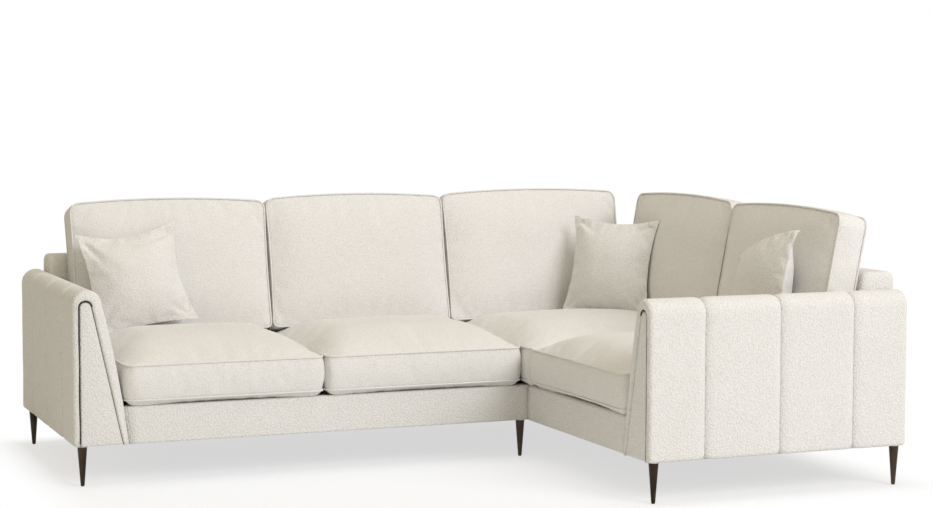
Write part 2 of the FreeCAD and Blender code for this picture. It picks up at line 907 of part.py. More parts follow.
def save_base(places):
    """Write the base frame of the long run and of the return."""
    legs = stud_holes(places)
    clamps = group(joining_bolts(bolt_radius + hole_clearance, False))
    long_start = left_x + base_inner
    long_end = right_x - shell_rear
    near_start = -(front_y + cover_setback - unit_gap)
    near_end = -near_y - base_inner
    runs = {
        "long": (long_start, long_end, to_long, long_middles()),
        "return": (near_start, near_end, to_return, [(near_start + near_end) / 2]),
    }
    for run, (start, end, turn, middles) in runs.items():
        last = back_rail_thickness if run == "long" else rail_thickness
        reach = end - rail_thickness - unit_gap if run == "long" else end
        spans = [(start, start + rail_thickness), (end - last, end)]
        spans += [(place - rail_thickness / 2, place + rail_thickness / 2) for place in middles]
        holes = [legs, clamps, arm_bolt_holes(run)]
        save(run + "_front_rail_cover", drilled(turn(rail_cover(start, end)), holes))
        save(run + "_front_rail", drilled(turn(front_rail(start, end)), holes))
        save(run + "_back_rail", drilled(turn(back_rail(start, end)), holes))
        members = [drilled(turn(piece), holes) for piece in cross_members(spans)]
        save(run + "_cross_members", group(members))
        corners = [(start + rail_thickness, 1), (end - last, -1)]
        save(run + "_glue_blocks", group([turn(block) for block in glue_blocks(corners)]))
        save(run + "_seat_straps", group([turn(strap) for strap in seat_straps(start, reach)]))
        save(run + "_deck_pad", turn(deck(start, reach)))
        save(run + "_dust_cover", drilled(turn(dust_cover(start, end)), [legs]))
    save("joining_bolts", group(joining_bolts(bolt_radius, True)))


def long_middles():
    """Cross members under the joins between the seat cushions."""
    return [long_splits()[0], return_x]


def long_splits():
    """Where the seat cushions of the long run meet."""
    return [left_x + seat_join_left, return_x - seat_join_step]


def drilled(shape, holes):
    """A piece with its bolt and stud holes."""
    for hole in holes:
        shape = shape.cut(hole)
    return shape


def save_backs():
    """Write the three upholstered backs, cut clear of the arms."""
    left_arm = slab_of_arm(-unit_gap, to_left_arm)
    right_arm = slab_of_arm(-unit_gap, to_right_arm)
    long_start = left_x + frame_inset
    long_block = shell_block(lean_long, long_start, right_x, long_start)
    hollow = back_hollow(lean_long, long_start + frame_wall, right_x - shell_rear)
    long_shell = to_long(long_block.cut(hollow)).cut(left_arm)
    save("long_back_shell", long_shell)
    corner = to_long(shell_block(lean_long, long_start, right_x))
    ahead = corner.copy()
    ahead.translate(Vec(0, -unit_gap, 0))
    seam = -(front_y + cover_setback)
    side_start = -(rear_y - shell_rear)
    side = shell_block(lean_return, side_start, seam)
    side = to_return(side.cut(back_hollow(lean_return, side_start, seam - shell_rear)))
    beyond = rear_y - frame_thickness / 2
    spare = box(return_x, right_x + 1.0, beyond, rear_y, rail_top + shell_lift, frame_top + 1.0)
    save("corner_back_shell", side.cut(corner).cut(ahead).cut(spare))
    near_end = -near_y - frame_inset
    near = shell_block(lean_return, seam + unit_gap, near_end, near_end)
    hollow = back_hollow(lean_return, seam + shell_rear, near_end - frame_wall)
    save("return_back_shell", to_return(near.cut(hollow)).cut(right_arm))
    save_back_timbers(seam, near_end, long_start)


def slab_of_arm(tuck, turn):
    """The arm's plain outline as a solid, tucked or grown, in place."""
    face = Part.Face(arm_wire(0.0, tuck, tuck))
    return turn(face.extrude(Vec(0, run_depth + 1.0, 0)))


def save_back_timbers(seam, near_end, long_start):
    """Write formers and rails of the three backs."""
    inner_left = left_x + base_inner + back_former_gap
    corner_reach = frame_thickness + lean_run(lean_long, rail_top + shell_lift) + corner_former_gap
    side_start = -(rear_y - corner_reach)
    side_stop = -(front_y + cover_setback + cover_pad + rail_thickness)
    side_stop -= back_former_thickness + unit_gap
    near_stop = -near_y - base_inner - back_former_thickness - back_former_gap
    long_stop = right_x - shell_rear - back_former_thickness - unit_gap
    spans = {
        "long": (inner_left, long_stop, 5, lean_long, to_long),
        "corner": (side_start, side_stop, 3, lean_return, to_return),
        "return": (seam + shell_rear + unit_gap, near_stop, 3, lean_return, to_return),
    }
    for name, (start, stop, count, lean, turn) in spans.items():
        step = (stop - start) / (count - 1)
        places = [start + index * step for index in range(count)]
        save(name + "_back_formers", group([turn(board) for board in back_formers(lean, places)]))
        save(name + "_back_rails", group([turn(rail) for rail in back_rails(places)]))


def save_seats():
    """Write the four seat cushions."""
    first, second = long_splits()
    half = cushion_gap / 2
    foot = rail_top + shell_lift
    long_back = rear_y - frame_thickness - lean_run(lean_long, foot) - soft_clearance
    side_back = right_x - frame_thickness - lean_run(lean_return, foot) - soft_clearance
    front = front_y - seat_overhang
    near = front_y - seat_overhang - corner_seat_overhang
    left = left_x + base_inner - seat_arm_tuck
    lower = near_y + base_inner - seat_arm_tuck
    face = return_x - seat_overhang
    save("seat_cushion_left", seat_cushion(left, first - half, front, long_back))
    save("seat_cushion_middle", seat_cushion(first + half, second - half, front, long_back))
    save("seat_cushion_corner", seat_cushion(second + half, side_back, near, long_back))
    save("seat_cushion_return", seat_cushion(face, side_back, lower, near - cushion_gap))


def long_back_spans():
    """Both ends of each back cushion of the long run."""
    half = cushion_gap / 2
    first, second = left_x + back_join_left, return_x - back_join_step
    start = left_x + arm_base_width - back_arm_tuck
    end = right_x - frame_thickness - back_corner_clear
    return [(start, first - half), (first + half, second - half), (second + half, end)]


def return_back_spans():
    """Both ends of each back cushion of the return, measured along its run."""
    half = cushion_gap / 2
    start = -(rear_y - frame_thickness - back_border - back_front_crown - side_back_clear)
    join = -front_y + side_back_join
    end = -near_y - arm_base_width + side_back_tuck
    return [(start, join - half), (join + half, end)]


def save_back_cushions():
    """Write the five back cushions."""
    arm_clear = slab_of_arm(-arm_clearance, to_right_arm)
    bottom = seat_welt_high + seat_crown * crown_under_long + back_rest_long
    names = ["left", "middle", "corner_left"]
    for name, span, rise in zip(names, long_back_spans(), long_back_rises):
        cushion = back_cushion(*span, frame_top + rise, bottom, lean_long)
        save("back_cushion_" + name, to_long(cushion))
    bottom = seat_welt_high + seat_crown * crown_under_return + back_rest_return
    names = ["corner_right", "return"]
    for name, span, rise in zip(names, return_back_spans(), return_back_rises):
        cushion = back_cushion(*span, frame_top + rise, bottom, lean_return)
        save("back_cushion_" + name, to_return(cushion).cut(arm_clear))


def scatter_places():
    """Centres of the scatter cushions."""
    stack = frame_thickness + back_border + scatter_fill
    aside = arm_base_width + scatter_half + scatter_arm_step
    rest = seat_welt_high + scatter_half
    across, along = scatter_corner_steps
    places = [
        (left_x + aside, rear_y - stack - scatter_back_step),
        (right_x - stack - across, rear_y - stack - along),
        (right_x - stack - scatter_side_step, near_y + aside),
    ]
    rises = [seat_crown * share - drop for share, drop in zip(scatter_crown_shares, scatter_drops)]
    return [Vec(x, y, rest + rise) for (x, y), rise in zip(places, rises)]


def save_scatters():
    """Write the three scatter cushions."""
    names = ["left", "corner", "right"]
    for name, centre, turns in zip(names, scatter_places(), scatter_turns):
        save("scatter_cushion_" + name, scatter_cushion(centre, *turns))


def main():
    os.makedirs("parts", exist_ok=True)
    places = leg_places()
    save_legs(places)
    save_arms()
    save_base(places)
    save_backs()
    save_seats()
    save_back_cushions()
    save_scatters()


main()
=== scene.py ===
import json
import math

import bmesh
import bpy
import numpy as np
from mathutils import Matrix, Vector, noise

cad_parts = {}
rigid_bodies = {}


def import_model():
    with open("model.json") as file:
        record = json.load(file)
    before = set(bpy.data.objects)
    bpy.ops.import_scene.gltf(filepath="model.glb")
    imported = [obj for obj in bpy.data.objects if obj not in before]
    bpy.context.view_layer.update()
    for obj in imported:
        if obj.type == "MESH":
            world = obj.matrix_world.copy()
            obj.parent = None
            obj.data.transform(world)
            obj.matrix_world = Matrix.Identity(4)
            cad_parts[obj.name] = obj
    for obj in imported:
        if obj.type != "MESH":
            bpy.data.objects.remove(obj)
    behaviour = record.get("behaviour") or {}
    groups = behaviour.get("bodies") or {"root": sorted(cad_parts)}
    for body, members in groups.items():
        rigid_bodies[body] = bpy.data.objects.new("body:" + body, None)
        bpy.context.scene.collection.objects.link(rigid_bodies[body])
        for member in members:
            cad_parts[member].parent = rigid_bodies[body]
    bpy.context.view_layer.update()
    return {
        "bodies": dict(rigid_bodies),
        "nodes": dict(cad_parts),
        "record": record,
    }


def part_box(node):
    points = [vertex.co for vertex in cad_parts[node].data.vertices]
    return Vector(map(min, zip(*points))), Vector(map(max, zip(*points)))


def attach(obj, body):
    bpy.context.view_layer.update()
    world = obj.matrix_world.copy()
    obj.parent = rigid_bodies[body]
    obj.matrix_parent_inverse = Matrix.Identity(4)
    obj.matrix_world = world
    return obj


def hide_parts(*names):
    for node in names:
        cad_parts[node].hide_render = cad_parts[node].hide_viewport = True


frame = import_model()

bl_info = {
    "name": "Corner sofa",
    "version": (1, 0, 0),
    "blender": (4, 5, 0),
    "location": "3D View > Sidebar > Sofa",
    "description": "Upholsters a corner sofa around its fixed frame",
    "category": "Object",
}

# Places of the fixed frame, in metres
LEFT, RIGHT, REAR, NEAR = -1.265, 1.265, 0.94, -0.94
RUN = 0.94
RETURN = RIGHT - RUN
FLOOR_GAP = 0.132
RAIL_TOP = 0.256
ARM_TOP = 0.64
BACK_TOP, BACK_DEPTH, BACK_ROUND = 0.696, 0.125, 0.025
LEAN = {"long": math.radians(12.0), "return": math.radians(10.5)}
# Added to the seam numbers of a pad's second face
SECOND = 20000


# Plain mesh helpers

def link(name, data):
    """A new object at the origin around a mesh, a curve, a lamp or a camera."""
    piece = bpy.data.objects.new(name, data)
    bpy.context.scene.collection.objects.link(piece)
    return piece


def mesh_of(name, points, faces, seams=None):
    """A closed smooth mesh whose faces point outwards. Seams number the points of each seam."""
    mesh = bpy.data.meshes.new(name)
    mesh.from_pydata([tuple(p) for p in points], [], faces)
    if seams is not None:
        layer = mesh.attributes.new("seam", "INT", "POINT")
        layer.data.foreach_set("value", np.array(seams, np.int32))
    shape = bmesh.new()
    shape.from_mesh(mesh)
    bmesh.ops.remove_doubles(shape, verts=shape.verts, dist=1e-5)
    bmesh.ops.dissolve_degenerate(shape, edges=shape.edges, dist=1e-6)
    bmesh.ops.recalc_face_normals(shape, faces=shape.faces)
    if shape.calc_volume(signed=True) < 0:
        bmesh.ops.reverse_faces(shape, faces=shape.faces)
    shape.to_mesh(mesh)
    shape.free()
    mesh.polygons.foreach_set("use_smooth", [True] * len(mesh.polygons))
    return mesh


def coords(mesh, what="co"):
    """Points of a mesh as an array, or their normals."""
    flat = np.zeros(len(mesh.vertices) * 3)
    mesh.vertices.foreach_get(what, flat)
    return flat.reshape(-1, 3)


def set_coords(mesh, points):
    """Move the points of a mesh."""
    mesh.vertices.foreach_set("co", np.asarray(points).ravel())
    mesh.update()


def seam_numbers(mesh):
    """The seam number of each point, nought where there is no seam."""
    values = np.zeros(len(mesh.vertices), np.int32)
    mesh.attributes["seam"].data.foreach_get("value", values)
    return values


def finish_piece(piece, body, node_name, finish):
    """Hang a piece on its body in place of a fixed node, with its finish."""
    piece.data.materials.append(bpy.data.materials[finish])
    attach(piece, body)
    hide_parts(node_name)


def wander(points, size, depth, seed):
    """Slow uneven values along points, for cloth that never lies quite even."""
    shift = Vector((seed * 3.17, seed * 1.31, seed * 2.23))
    return np.array([noise.noise(Vector(p) / size + shift) for p in points]) * depth


# Outlines and grids

def spaced(count, edge=0.45):
    """Steps from nought to one that lie closer together at both ends."""
    even = np.linspace(0, 1, count + 1)
    return even * (1 - edge) + edge * (0.5 - 0.5 * np.cos(np.pi * even))


def resample(line, steps):
    """Points at given shares of the length of a line."""
    gaps = np.linalg.norm(np.diff(line, axis=0), axis=1)
    run = np.concatenate([[0], np.cumsum(gaps)])
    run /= run[-1]
    return np.stack([np.interp(steps, run, line[:, k]) for k in range(line.shape[1])], axis=1)


def soft_sides(corners, sags, radii, inset=0.0):
    """Four sides of a rounded outline, each from the middle of one corner to the next."""
    radii = np.broadcast_to(radii, 4)
    corners = np.asarray(corners, float)
    ahead = [corners[(i + 1) % 4] - corners[i] for i in range(4)]
    ahead = [a / np.linalg.norm(a) for a in ahead]
    tucked = [corners[i] + (ahead[i] - ahead[i - 1]) * inset for i in range(4)]
    sides = []
    for i in range(4):
        j = (i + 1) % 4
        here, there = tucked[i], tucked[j]
        start, end = here + ahead[i] * radii[i], there - ahead[i] * radii[j]
        before, after = here - ahead[i - 1] * radii[i], there + ahead[j] * radii[j]
        inward = np.array([-ahead[i][1], ahead[i][0]])
        t = np.linspace(0.5, 1, 9)[:, None]
        first = before * (1 - t) ** 2 + here * 2 * t * (1 - t) + start * t ** 2
        f = np.linspace(0, 1, 33)[1:-1, None]
        middle = start * (1 - f) + end * f + inward * sags[i] * 4 * f * (1 - f)
        t = np.linspace(0, 0.5, 9)[:, None]
        last = end * (1 - t) ** 2 + there * 2 * t * (1 - t) + after * t ** 2
        sides.append(np.concatenate([first, middle, last]))
    return sides


def coons(low, right, high, left, us, vs):
    """A grid that fills four joined sides."""
    u, v = us[None, :, None], vs[:, None, None]
    across = low[None] * (1 - v) + high[None] * v
    along = left[:, None] * (1 - u) + right[:, None] * u
    blend = (low[0] * (1 - u) + low[-1] * u) * (1 - v) + (high[0] * (1 - u) + high[-1] * u) * v
    return across + along - blend


def filled(sides, us, vs):
    """A flat grid inside four sides that run round an outline."""
    low, right = resample(sides[0], us), resample(sides[1], vs)
    high, left = resample(sides[2][::-1], us), resample(sides[3][::-1], vs)
    return coons(low, right, high, left, us, vs)


def ring_of(grid):
    """The rim of a grid, in order."""
    return np.concatenate([grid[0, :-1], grid[:-1, -1], grid[-1, :0:-1], grid[:0:-1, 0]])


def swell(us, vs, width, height, span, power=2.4, side_span=None):
    """Share of the full crown over a grid, nought at its rim."""
    def rise(distance, reach):
        return 1 - (1 - np.minimum(1, distance / reach)) ** power
    side = side_span or span
    across = rise(us * width, side) * rise((1 - us) * width, side)
    along = rise(vs * height, span) * rise((1 - vs) * height, span)
    return along[:, None] * across[None, :]


def at_height(ring, height):
    """A flat ring as points at a height."""
    return np.column_stack([ring, np.full(len(ring), height)])


def pad_mesh(name, front, rings, back):
    """A closed pad: a front grid, rings round its border and a back grid."""
    rows, cols = front.shape[:2]
    total = rows * cols
    index = np.arange(total).reshape(rows, cols)
    rim = before = ring_of(index[..., None])[:, 0]
    seam = np.zeros(total, int)
    seam[rim] = 1 + np.arange(len(rim))
    points, seams, faces = [front.reshape(-1, 3)], [seam], grid_faces(index)
    for ring in rings:
        now = np.arange(total, total + len(ring))
        points.append(ring)
        seams.append(np.zeros(len(ring), int))
        faces += band_faces(before, now)
        total += len(ring)
        before = now
    points.append(back.reshape(-1, 3))
    seams.append(np.where(seam > 0, seam + SECOND, 0))
    faces += grid_faces(index + total) + band_faces(before, rim + total)
    return mesh_of(name, np.concatenate(points), faces, np.concatenate(seams))


def quads(*corners):
    """Faces from four rows of point numbers."""
    return [tuple(int(x) for x in face) for face in zip(*corners)]


def grid_faces(index):
    """Quads of a grid of point numbers."""
    parts = (index[:-1, :-1], index[:-1, 1:], index[1:, 1:], index[1:, :-1])
    return quads(*(part.ravel() for part in parts))


def band_faces(one, two):
    """Quads between two closed rings."""
    return quads(one, np.roll(one, -1), np.roll(two, -1), two)


# Finishes

def put(tree, socket, value):
    """Link a socket to another one, or give it a value."""
    if isinstance(value, bpy.types.NodeSocket):
        tree.links.new(value, socket)
    else:
        socket.default_value = value


def node(tree, kind, values=None, **settings):
    """Add a node with its settings and what goes into its sockets."""
    made = tree.nodes.new(kind)
    for key, value in settings.items():
        setattr(made, key, value)
    for key, value in (values or {}).items():
        put(tree, made.inputs[key], value)
    return made


def maths(tree, operation, first, second=0.0, clamp=False):
    """Join two sockets or numbers with an operation."""
    values = {0: first, 1: second}
    return node(tree, "ShaderNodeMath", values, operation=operation, use_clamp=clamp).outputs[0]


def mix_colour(tree, share, first, second):
    """Blend two colours."""
    made = node(tree, "ShaderNodeMix", data_type="RGBA")
    for name, value in (("Factor", share), ("A", first), ("B", second)):
        put(tree, next(s for s in made.inputs if s.name == name and s.enabled), value)
    return next(s for s in made.outputs if s.enabled)


def new_group(name, kind, inputs, outputs):
    """An empty node group with named sockets, its input sockets and its output node."""
    tree = bpy.data.node_groups.new(name, kind)
    for way, sockets in (("INPUT", inputs), ("OUTPUT", outputs)):
        for label, sort, *value in sockets:
            socket = tree.interface.new_socket(label, in_out=way, socket_type="NodeSocket" + sort)
            if value:
                socket.default_value = value[0]
    return tree, tree.nodes.new("NodeGroupInput").outputs, tree.nodes.new("NodeGroupOutput")


def finish_group(name, inputs):
    """An empty shader group that gives a colour, a roughness and a height."""
    outputs = [("Color", "Color"), ("Roughness", "Float"), ("Height", "Float")]
    return new_group(name, "ShaderNodeTree", [("Vector", "Vector")] + inputs, outputs)


def give(tree, end, *results):
    """Link the results of a group to its output."""
    for socket, result in zip(end.inputs, results):
        tree.links.new(result, socket)


def weave_group():
    """Pebbly looped weave: colour, roughness and height from a position, with painted shade in the hollows
    between the loops.
    """
    tree, given, end = finish_group("Looped weave", [
        ("Facing", "Vector"), ("Pebble", "Float", 170.0), ("Mottle", "Float", 0.5), ("Threads", "Float", 0.0),
        ("Light", "Color", (0.9, 0.87, 0.81, 1)), ("Dark", "Color", (0.6, 0.55, 0.47, 1)),
    ])
    place, pebble = given["Vector"], given["Pebble"]

    def join(*values, **options):
        return maths(tree, *values, **options)

    def grain(scale, detail, rough):
        values = {"Vector": place, "Scale": scale, "Detail": detail, "Roughness": rough}
        return node(tree, "ShaderNodeTexNoise", values)
    bend = grain(join("MULTIPLY", pebble, 0.45), 2.0, 0.5)
    values = {0: bend.outputs["Color"], "Scale": 0.0045}
    shift = node(tree, "ShaderNodeVectorMath", values, operation="SCALE")
    moved = node(tree, "ShaderNodeVectorMath", {0: place, 1: shift.outputs[0]}, operation="ADD")
    values = {"Vector": moved.outputs[0], "Scale": pebble, "Smoothness": 0.35}
    loops = node(tree, "ShaderNodeTexVoronoi", values, feature="SMOOTH_F1")
    dome = join("MAXIMUM", join("SUBTRACT", 1.0, loops.outputs["Distance"]), 0.0)
    fuzz = grain(join("MULTIPLY", pebble, 1.7), 3.0, 0.65)
    height = join("ADD", join("POWER", dome, 1.5), join("MULTIPLY", fuzz.outputs[0], 0.5))
    facing = node(tree, "ShaderNodeSeparateXYZ", {0: given["Facing"]}).outputs
    crossing = 0.0
    for way in ("X", "Y", "Z"):
        values = {"Vector": place, "Scale": 66.0, "Distortion": 3.2, "Detail": 2.0, "Detail Scale": 1.6}
        band = node(tree, "ShaderNodeTexWave", values, bands_direction=way)
        side = join("SUBTRACT", 1.0, join("ABSOLUTE", facing[way]))
        side = join("MULTIPLY", side, 1.2, clamp=True)
        crossing = join("ADD", join("MULTIPLY", band.outputs["Fac"], side), crossing)
    crossing = join("SUBTRACT", join("MULTIPLY", crossing, 0.5), 0.5)
    height = join("ADD", height, join("MULTIPLY", crossing, given["Threads"]))
    slow = join("SUBTRACT", grain(9.0, 2.0, 0.5).outputs[0], 0.5)
    # The colour follows the height, so the hollows between the loops take the dark colour as painted shade;
    # the slow mottle is random tone
    share = join("ADD", join("MULTIPLY", height, 0.95), join("MULTIPLY", slow, given["Mottle"]))
    values = {"Value": share, "From Min": 0.25, "From Max": 0.95}
    share = node(tree, "ShaderNodeMapRange", values).outputs[0]
    rough = join("SUBTRACT", 1.0, join("MULTIPLY", share, 0.12))
    give(tree, end, mix_colour(tree, share, given["Dark"], given["Light"]), rough, height)


def streak_group():
    """Long fine streaks, for timber grain and for turned metal."""
    tree, given, end = finish_group("Streaks", [
        ("Scale", "Float", 40.0),
        ("Light", "Color", (0.8, 0.66, 0.46, 1)), ("Dark", "Color", (0.6, 0.45, 0.28, 1)),
    ])
    both = 0.0
    for factor, part, detail, rough, bend in ((0.35, 0.6, 4.0, 0.6, 0.4), (2.4, 0.4, 5.0, 0.7, 0.0)):
        scale = maths(tree, "MULTIPLY", given["Scale"], factor)
        values = {"Vector": given["Vector"], "Scale": scale}
        values.update({"Detail": detail, "Roughness": rough, "Distortion": bend})
        grain = node(tree, "ShaderNodeTexNoise", values)
        both = maths(tree, "ADD", both, maths(tree, "MULTIPLY", grain.outputs[0], part))
    share = node(tree, "ShaderNodeMapRange", {"Value": both, "From Min": 0.35, "From Max": 0.65}).outputs[0]
    rough = maths(tree, "ADD", maths(tree, "MULTIPLY", both, 0.3), 0.25)
    give(tree, end, mix_colour(tree, share, given["Dark"], given["Light"]), rough, both)


def material(name, group, values, bump, stretch=(1, 1, 1), shader=None):
    """A material around one of the shared groups, on object coordinates."""
    made = bpy.data.materials.new(name)
    made.use_nodes = True
    tree = made.node_tree
    place = tree.nodes.new("ShaderNodeTexCoord").outputs
    scale = node(tree, "ShaderNodeMapping", {"Vector": place["Object"], "Scale": stretch})
    values = dict(values, Vector=scale.outputs[0])
    if group == "Looped weave":
        values["Facing"] = place["Normal"]
    effect = node(tree, "ShaderNodeGroup", values, node_tree=bpy.data.node_groups[group]).outputs
    values = {"Strength": 1.0, "Distance": bump, "Height": effect["Height"]}
    relief = node(tree, "ShaderNodeBump", values)
    surface = {"Base Color": effect["Color"], "Roughness": effect["Roughness"], "Normal": relief.outputs[0]}
    surface.update(shader or {})
    for key, value in surface.items():
        put(tree, tree.nodes["Principled BSDF"].inputs[key], value)


# Cushions

# Left, right, front and rear of each seat
SEATS = {
    "seat_cushion_left": (-1.0965, -0.416, -0.012, 0.7275),
    "seat_cushion_middle": (-0.41, 0.309, -0.012, 0.7275),
    "seat_cushion_corner": (0.315, 1.0637, -0.055, 0.7275),
    "seat_cushion_return": (0.313, 1.0637, -0.7715, -0.061),
}
# Run, start, end and top of each back cushion
BACKS = {
    "back_cushion_left": ("long", -1.125, -0.407, 0.886),
    "back_cushion_middle": ("long", -0.401, 0.294, 0.893),
    "back_cushion_corner_left": ("long", 0.300, 1.030, 0.900),
    "back_cushion_corner_right": ("return", -0.590, 0.147, 0.896),
    "back_cushion_return": ("return", 0.153, 0.854, 0.890),
}
# Centre, heading, lean, roll and droop of the far upper corner of each scatter cushion
SCATTERS = {
    "scatter_cushion_left": ((-0.925, 0.5944, 0.6216), 0, 16, 6, 0.0),
    "scatter_cushion_corner": ((0.8745, 0.4517, 0.6269), 55, 12, -1, 0.0),
    "scatter_cushion_right": ((0.9266, -0.6, 0.6378), 90, 14, 5, 0.095),
}
# Pull of each corner, from the lower left one round, and how far each side is drawn in
EARS = {
    "scatter_cushion_left": [(-0.002, -0.020), (0.021, 0.008), (0.0, 0.014), (-0.002, 0.002)],
    "scatter_cushion_corner": [(-0.004, -0.004), (0.002, 0.0), (0.002, 0.004), (0.0, 0.004)],
    "scatter_cushion_right": [(0.0, 0.0), (0.0, 0.0), (0.0, 0.0), (0.0, 0.0)],
}
DRAWN = {
    "scatter_cushion_left": [0.020, 0.034, 0.040, 0.026],
    "scatter_cushion_corner": [0.008, 0.024, 0.026, 0.024],
    "scatter_cushion_right": [0.005, -0.0065, -0.0102, 0.022],
}
# Folds of the scatter cushions: both ends as shares of the face, depth and half width
FOLDS = {
    "scatter_cushion_left": [
        (0.96, 0.90, 0.52, 0.86, 0.014, 0.013), (0.03, 0.95, 0.3, 0.55, 0.010, 0.018),
        (0.04, 0.05, 0.3, 0.4, 0.010, 0.016), (0.95, 0.04, 0.7, 0.25, 0.008, 0.013),
    ],
    "scatter_cushion_corner": [
        (0.97, 0.95, 0.55, 0.84, 0.012, 0.013), (0.03, 0.96, 0.4, 0.84, 0.009, 0.014),
        (0.95, 0.05, 0.72, 0.35, 0.008, 0.014), (0.05, 0.05, 0.3, 0.25, 0.007, 0.014),
    ],
    "scatter_cushion_right": [
        (0.97, 0.96, 0.8, 0.74, 0.012, 0.016), (0.04, 0.95, 0.3, 0.7, 0.006, 0.014),
        (0.95, 0.05, 0.7, 0.3, 0.007, 0.014),
    ],
}
SEAT_LOW, SEAT_WELT_LOW, SEAT_WELT_HIGH = 0.2565, 0.277, 0.390
BACK_WELTS = 0.1163, 0.0163
SCATTER_SIZE = 0.37
# How far piping stands off the seam that it covers
PIPING_LIFT = 0.0012
SETTLE_FRAMES = 18
CLOTH = {
    "quality": 5, "mass": 0.3, "air_damping": 1.0, "tension_stiffness": 18,
    "compression_stiffness": 12, "shear_stiffness": 6, "bending_stiffness": 0.8,
    "use_pressure": True, "vertex_group_mass": "held",
}


def rectangle(x0, x1, y0, y1):
    """Four corners, counterclockwise."""
    return [(x0, y0), (x1, y0), (x1, y1), (x0, y1)]


def boxed(name, corners, sags, radii, welts, faces, shares, draw):
    """A boxed cushion between two welts, whose border is drawn in between them."""
    sizes = bpy.context.scene.sofa_sizes
    width, height = np.subtract(corners[2], corners[0])
    us, vs = (spaced(int(size / sizes.cloth_step)) for size in (width, height))
    flat = filled(soft_sides(corners, sags, radii, 0.002), us, vs)
    rings = []
    for share in shares:
        bulge = 0.002 - draw * (1 - (2 * share - 1) ** 2)
        ring = ring_of(filled(soft_sides(corners, sags, radii, bulge), us, vs))
        rings.append(at_height(ring, welts[0] + (welts[1] - welts[0]) * share))
    front, rear = (face(us, vs, width, height) for face in faces)
    return pad_mesh(name, np.dstack([flat, welts[0] + front]), rings, np.dstack([flat, welts[1] - rear]))


def seat_form(name, x0, x1, y0, y1, seed):
    """Boxed seat cushion with a full crown and a rounded underside."""
    sizes = bpy.context.scene.sofa_sizes

    def top(us, vs, width, depth):
        crown = swell(us, vs, width, depth, 0.26, side_span=0.14) * sizes.seat_crown
        hill = np.sin(np.pi * np.clip(us, 0, 1))[None, :] ** 0.5
        ahead = np.exp(-(((vs - 0.5) / 0.27) ** 4))[:, None] * hill
        return crown + ahead * sizes.seat_puff * swell(us, vs, width, depth, 0.2)

    def under(us, vs, width, depth):
        return swell(us, vs, width, depth, 0.036, 2.0) * (SEAT_WELT_LOW - SEAT_LOW)
    mesh = boxed(
        name, rectangle(x0, x1, y0, y1), [0.004] * 4, [0.042, 0.042, 0.022, 0.022],
        (SEAT_WELT_HIGH, SEAT_WELT_LOW), (top, under), (0.12, 0.3, 0.5, 0.7, 0.88), 0.006)
    pucker(mesh, seed)
    return mesh


def back_form(name, run, start, end, top, seed):
    """Boxed back cushion against the raked front of a back."""
    sizes = bpy.context.scene.sofa_sizes
    lean = LEAN[run]
    anchor = BACK_TOP - BACK_ROUND
    bottom = 0.4233 if run == "long" else 0.425
    low, high = (
        (level - anchor - BACK_WELTS[0] * math.sin(lean)) / math.cos(lean) for level in (bottom, top))

    def front(us, vs, width, height):
        return swell(us, vs, width, height, 0.18) * sizes.back_crown

    def rear(us, vs, width, height):
        return swell(us, vs, width, height, 0.09) * 0.016
    mesh = boxed(
        name, rectangle(start, end, low, high), [0.001, 0.004, -0.012, 0.004], [0.020, 0.020, 0.040, 0.040],
        BACK_WELTS, (front, rear), (0.14, 0.32, 0.5, 0.68, 0.86), 0.004)
    pucker(mesh, seed)
    up = np.array([0, math.sin(lean), math.cos(lean)])
    out = np.array([0, -math.cos(lean), math.sin(lean)])
    stand(mesh, np.array([0, -BACK_DEPTH, anchor]), np.array([1, 0, 0]), up, out)
    set_coords(mesh, to_run(coords(mesh), run))
    return mesh


def scatter_form(name, centre, heading, lean, roll, droop, seed):
    """Knife edged cushion with pulled out corners that leans back."""
    turn = math.radians(roll)
    half = SCATTER_SIZE / 2
    tips = []
    for (side, level), (over, raised) in zip(((-1, -1), (1, -1), (1, 1), (-1, 1)), EARS[name]):
        x = side * half + over
        y = level * half + raised - (droop if side < 0 < level else 0)
        tips.append((x * math.cos(turn) - y * math.sin(turn), x * math.sin(turn) + y * math.cos(turn)))
    us = vs = spaced(34, 0.5)
    flat = filled(soft_sides(tips, DRAWN[name], 0.006), us, vs)
    crown = swell(us, vs, SCATTER_SIZE, SCATTER_SIZE, 0.16, 1.9) * 0.066
    rim = swell(us, vs, SCATTER_SIZE, SCATTER_SIZE, 0.03, 2.0)
    grid_u, grid_v = np.meshgrid(us, vs)
    for u0, v0, u1, v1, depth, wide in FOLDS[name]:
        run = np.array([u1 - u0, v1 - v0])
        share = ((grid_u - u0) * run[0] + (grid_v - v0) * run[1]) / (run @ run)
        share = np.clip(share, 0, 1)
        gap = np.hypot(grid_u - u0 - share * run[0], grid_v - v0 - share * run[1]) * SCATTER_SIZE
        reach = wide * (0.6 + 0.8 * share)
        crown -= depth * np.exp(-((gap / reach) ** 2)) * (1 - 0.75 * share) * rim
    rear = swell(us, vs, SCATTER_SIZE, SCATTER_SIZE, 0.15, 1.9) * 0.056
    hill_u, hill_v = (np.clip(np.sin(np.pi * grid), 0, 1) ** 0.4 for grid in (grid_u, grid_v))
    bend = droop * (0.42 * grid_v ** 4 * hill_u + 0.46 * grid_u ** 6 * hill_v)
    mesh = pad_mesh(name, np.dstack([flat, crown + bend]), [], np.dstack([flat, bend - rear]))
    pucker(mesh, seed, 0.0025)
    aim, tilt = math.radians(heading), math.radians(lean)
    level_out = np.array([-math.sin(aim), -math.cos(aim), 0])
    plumb = np.array([0, 0, 1])
    out = level_out * math.cos(tilt) + plumb * math.sin(tilt)
    up = plumb * math.cos(tilt) - level_out * math.sin(tilt)
    stand(mesh, np.array(centre), np.cross(up, out), up, out)
    return mesh


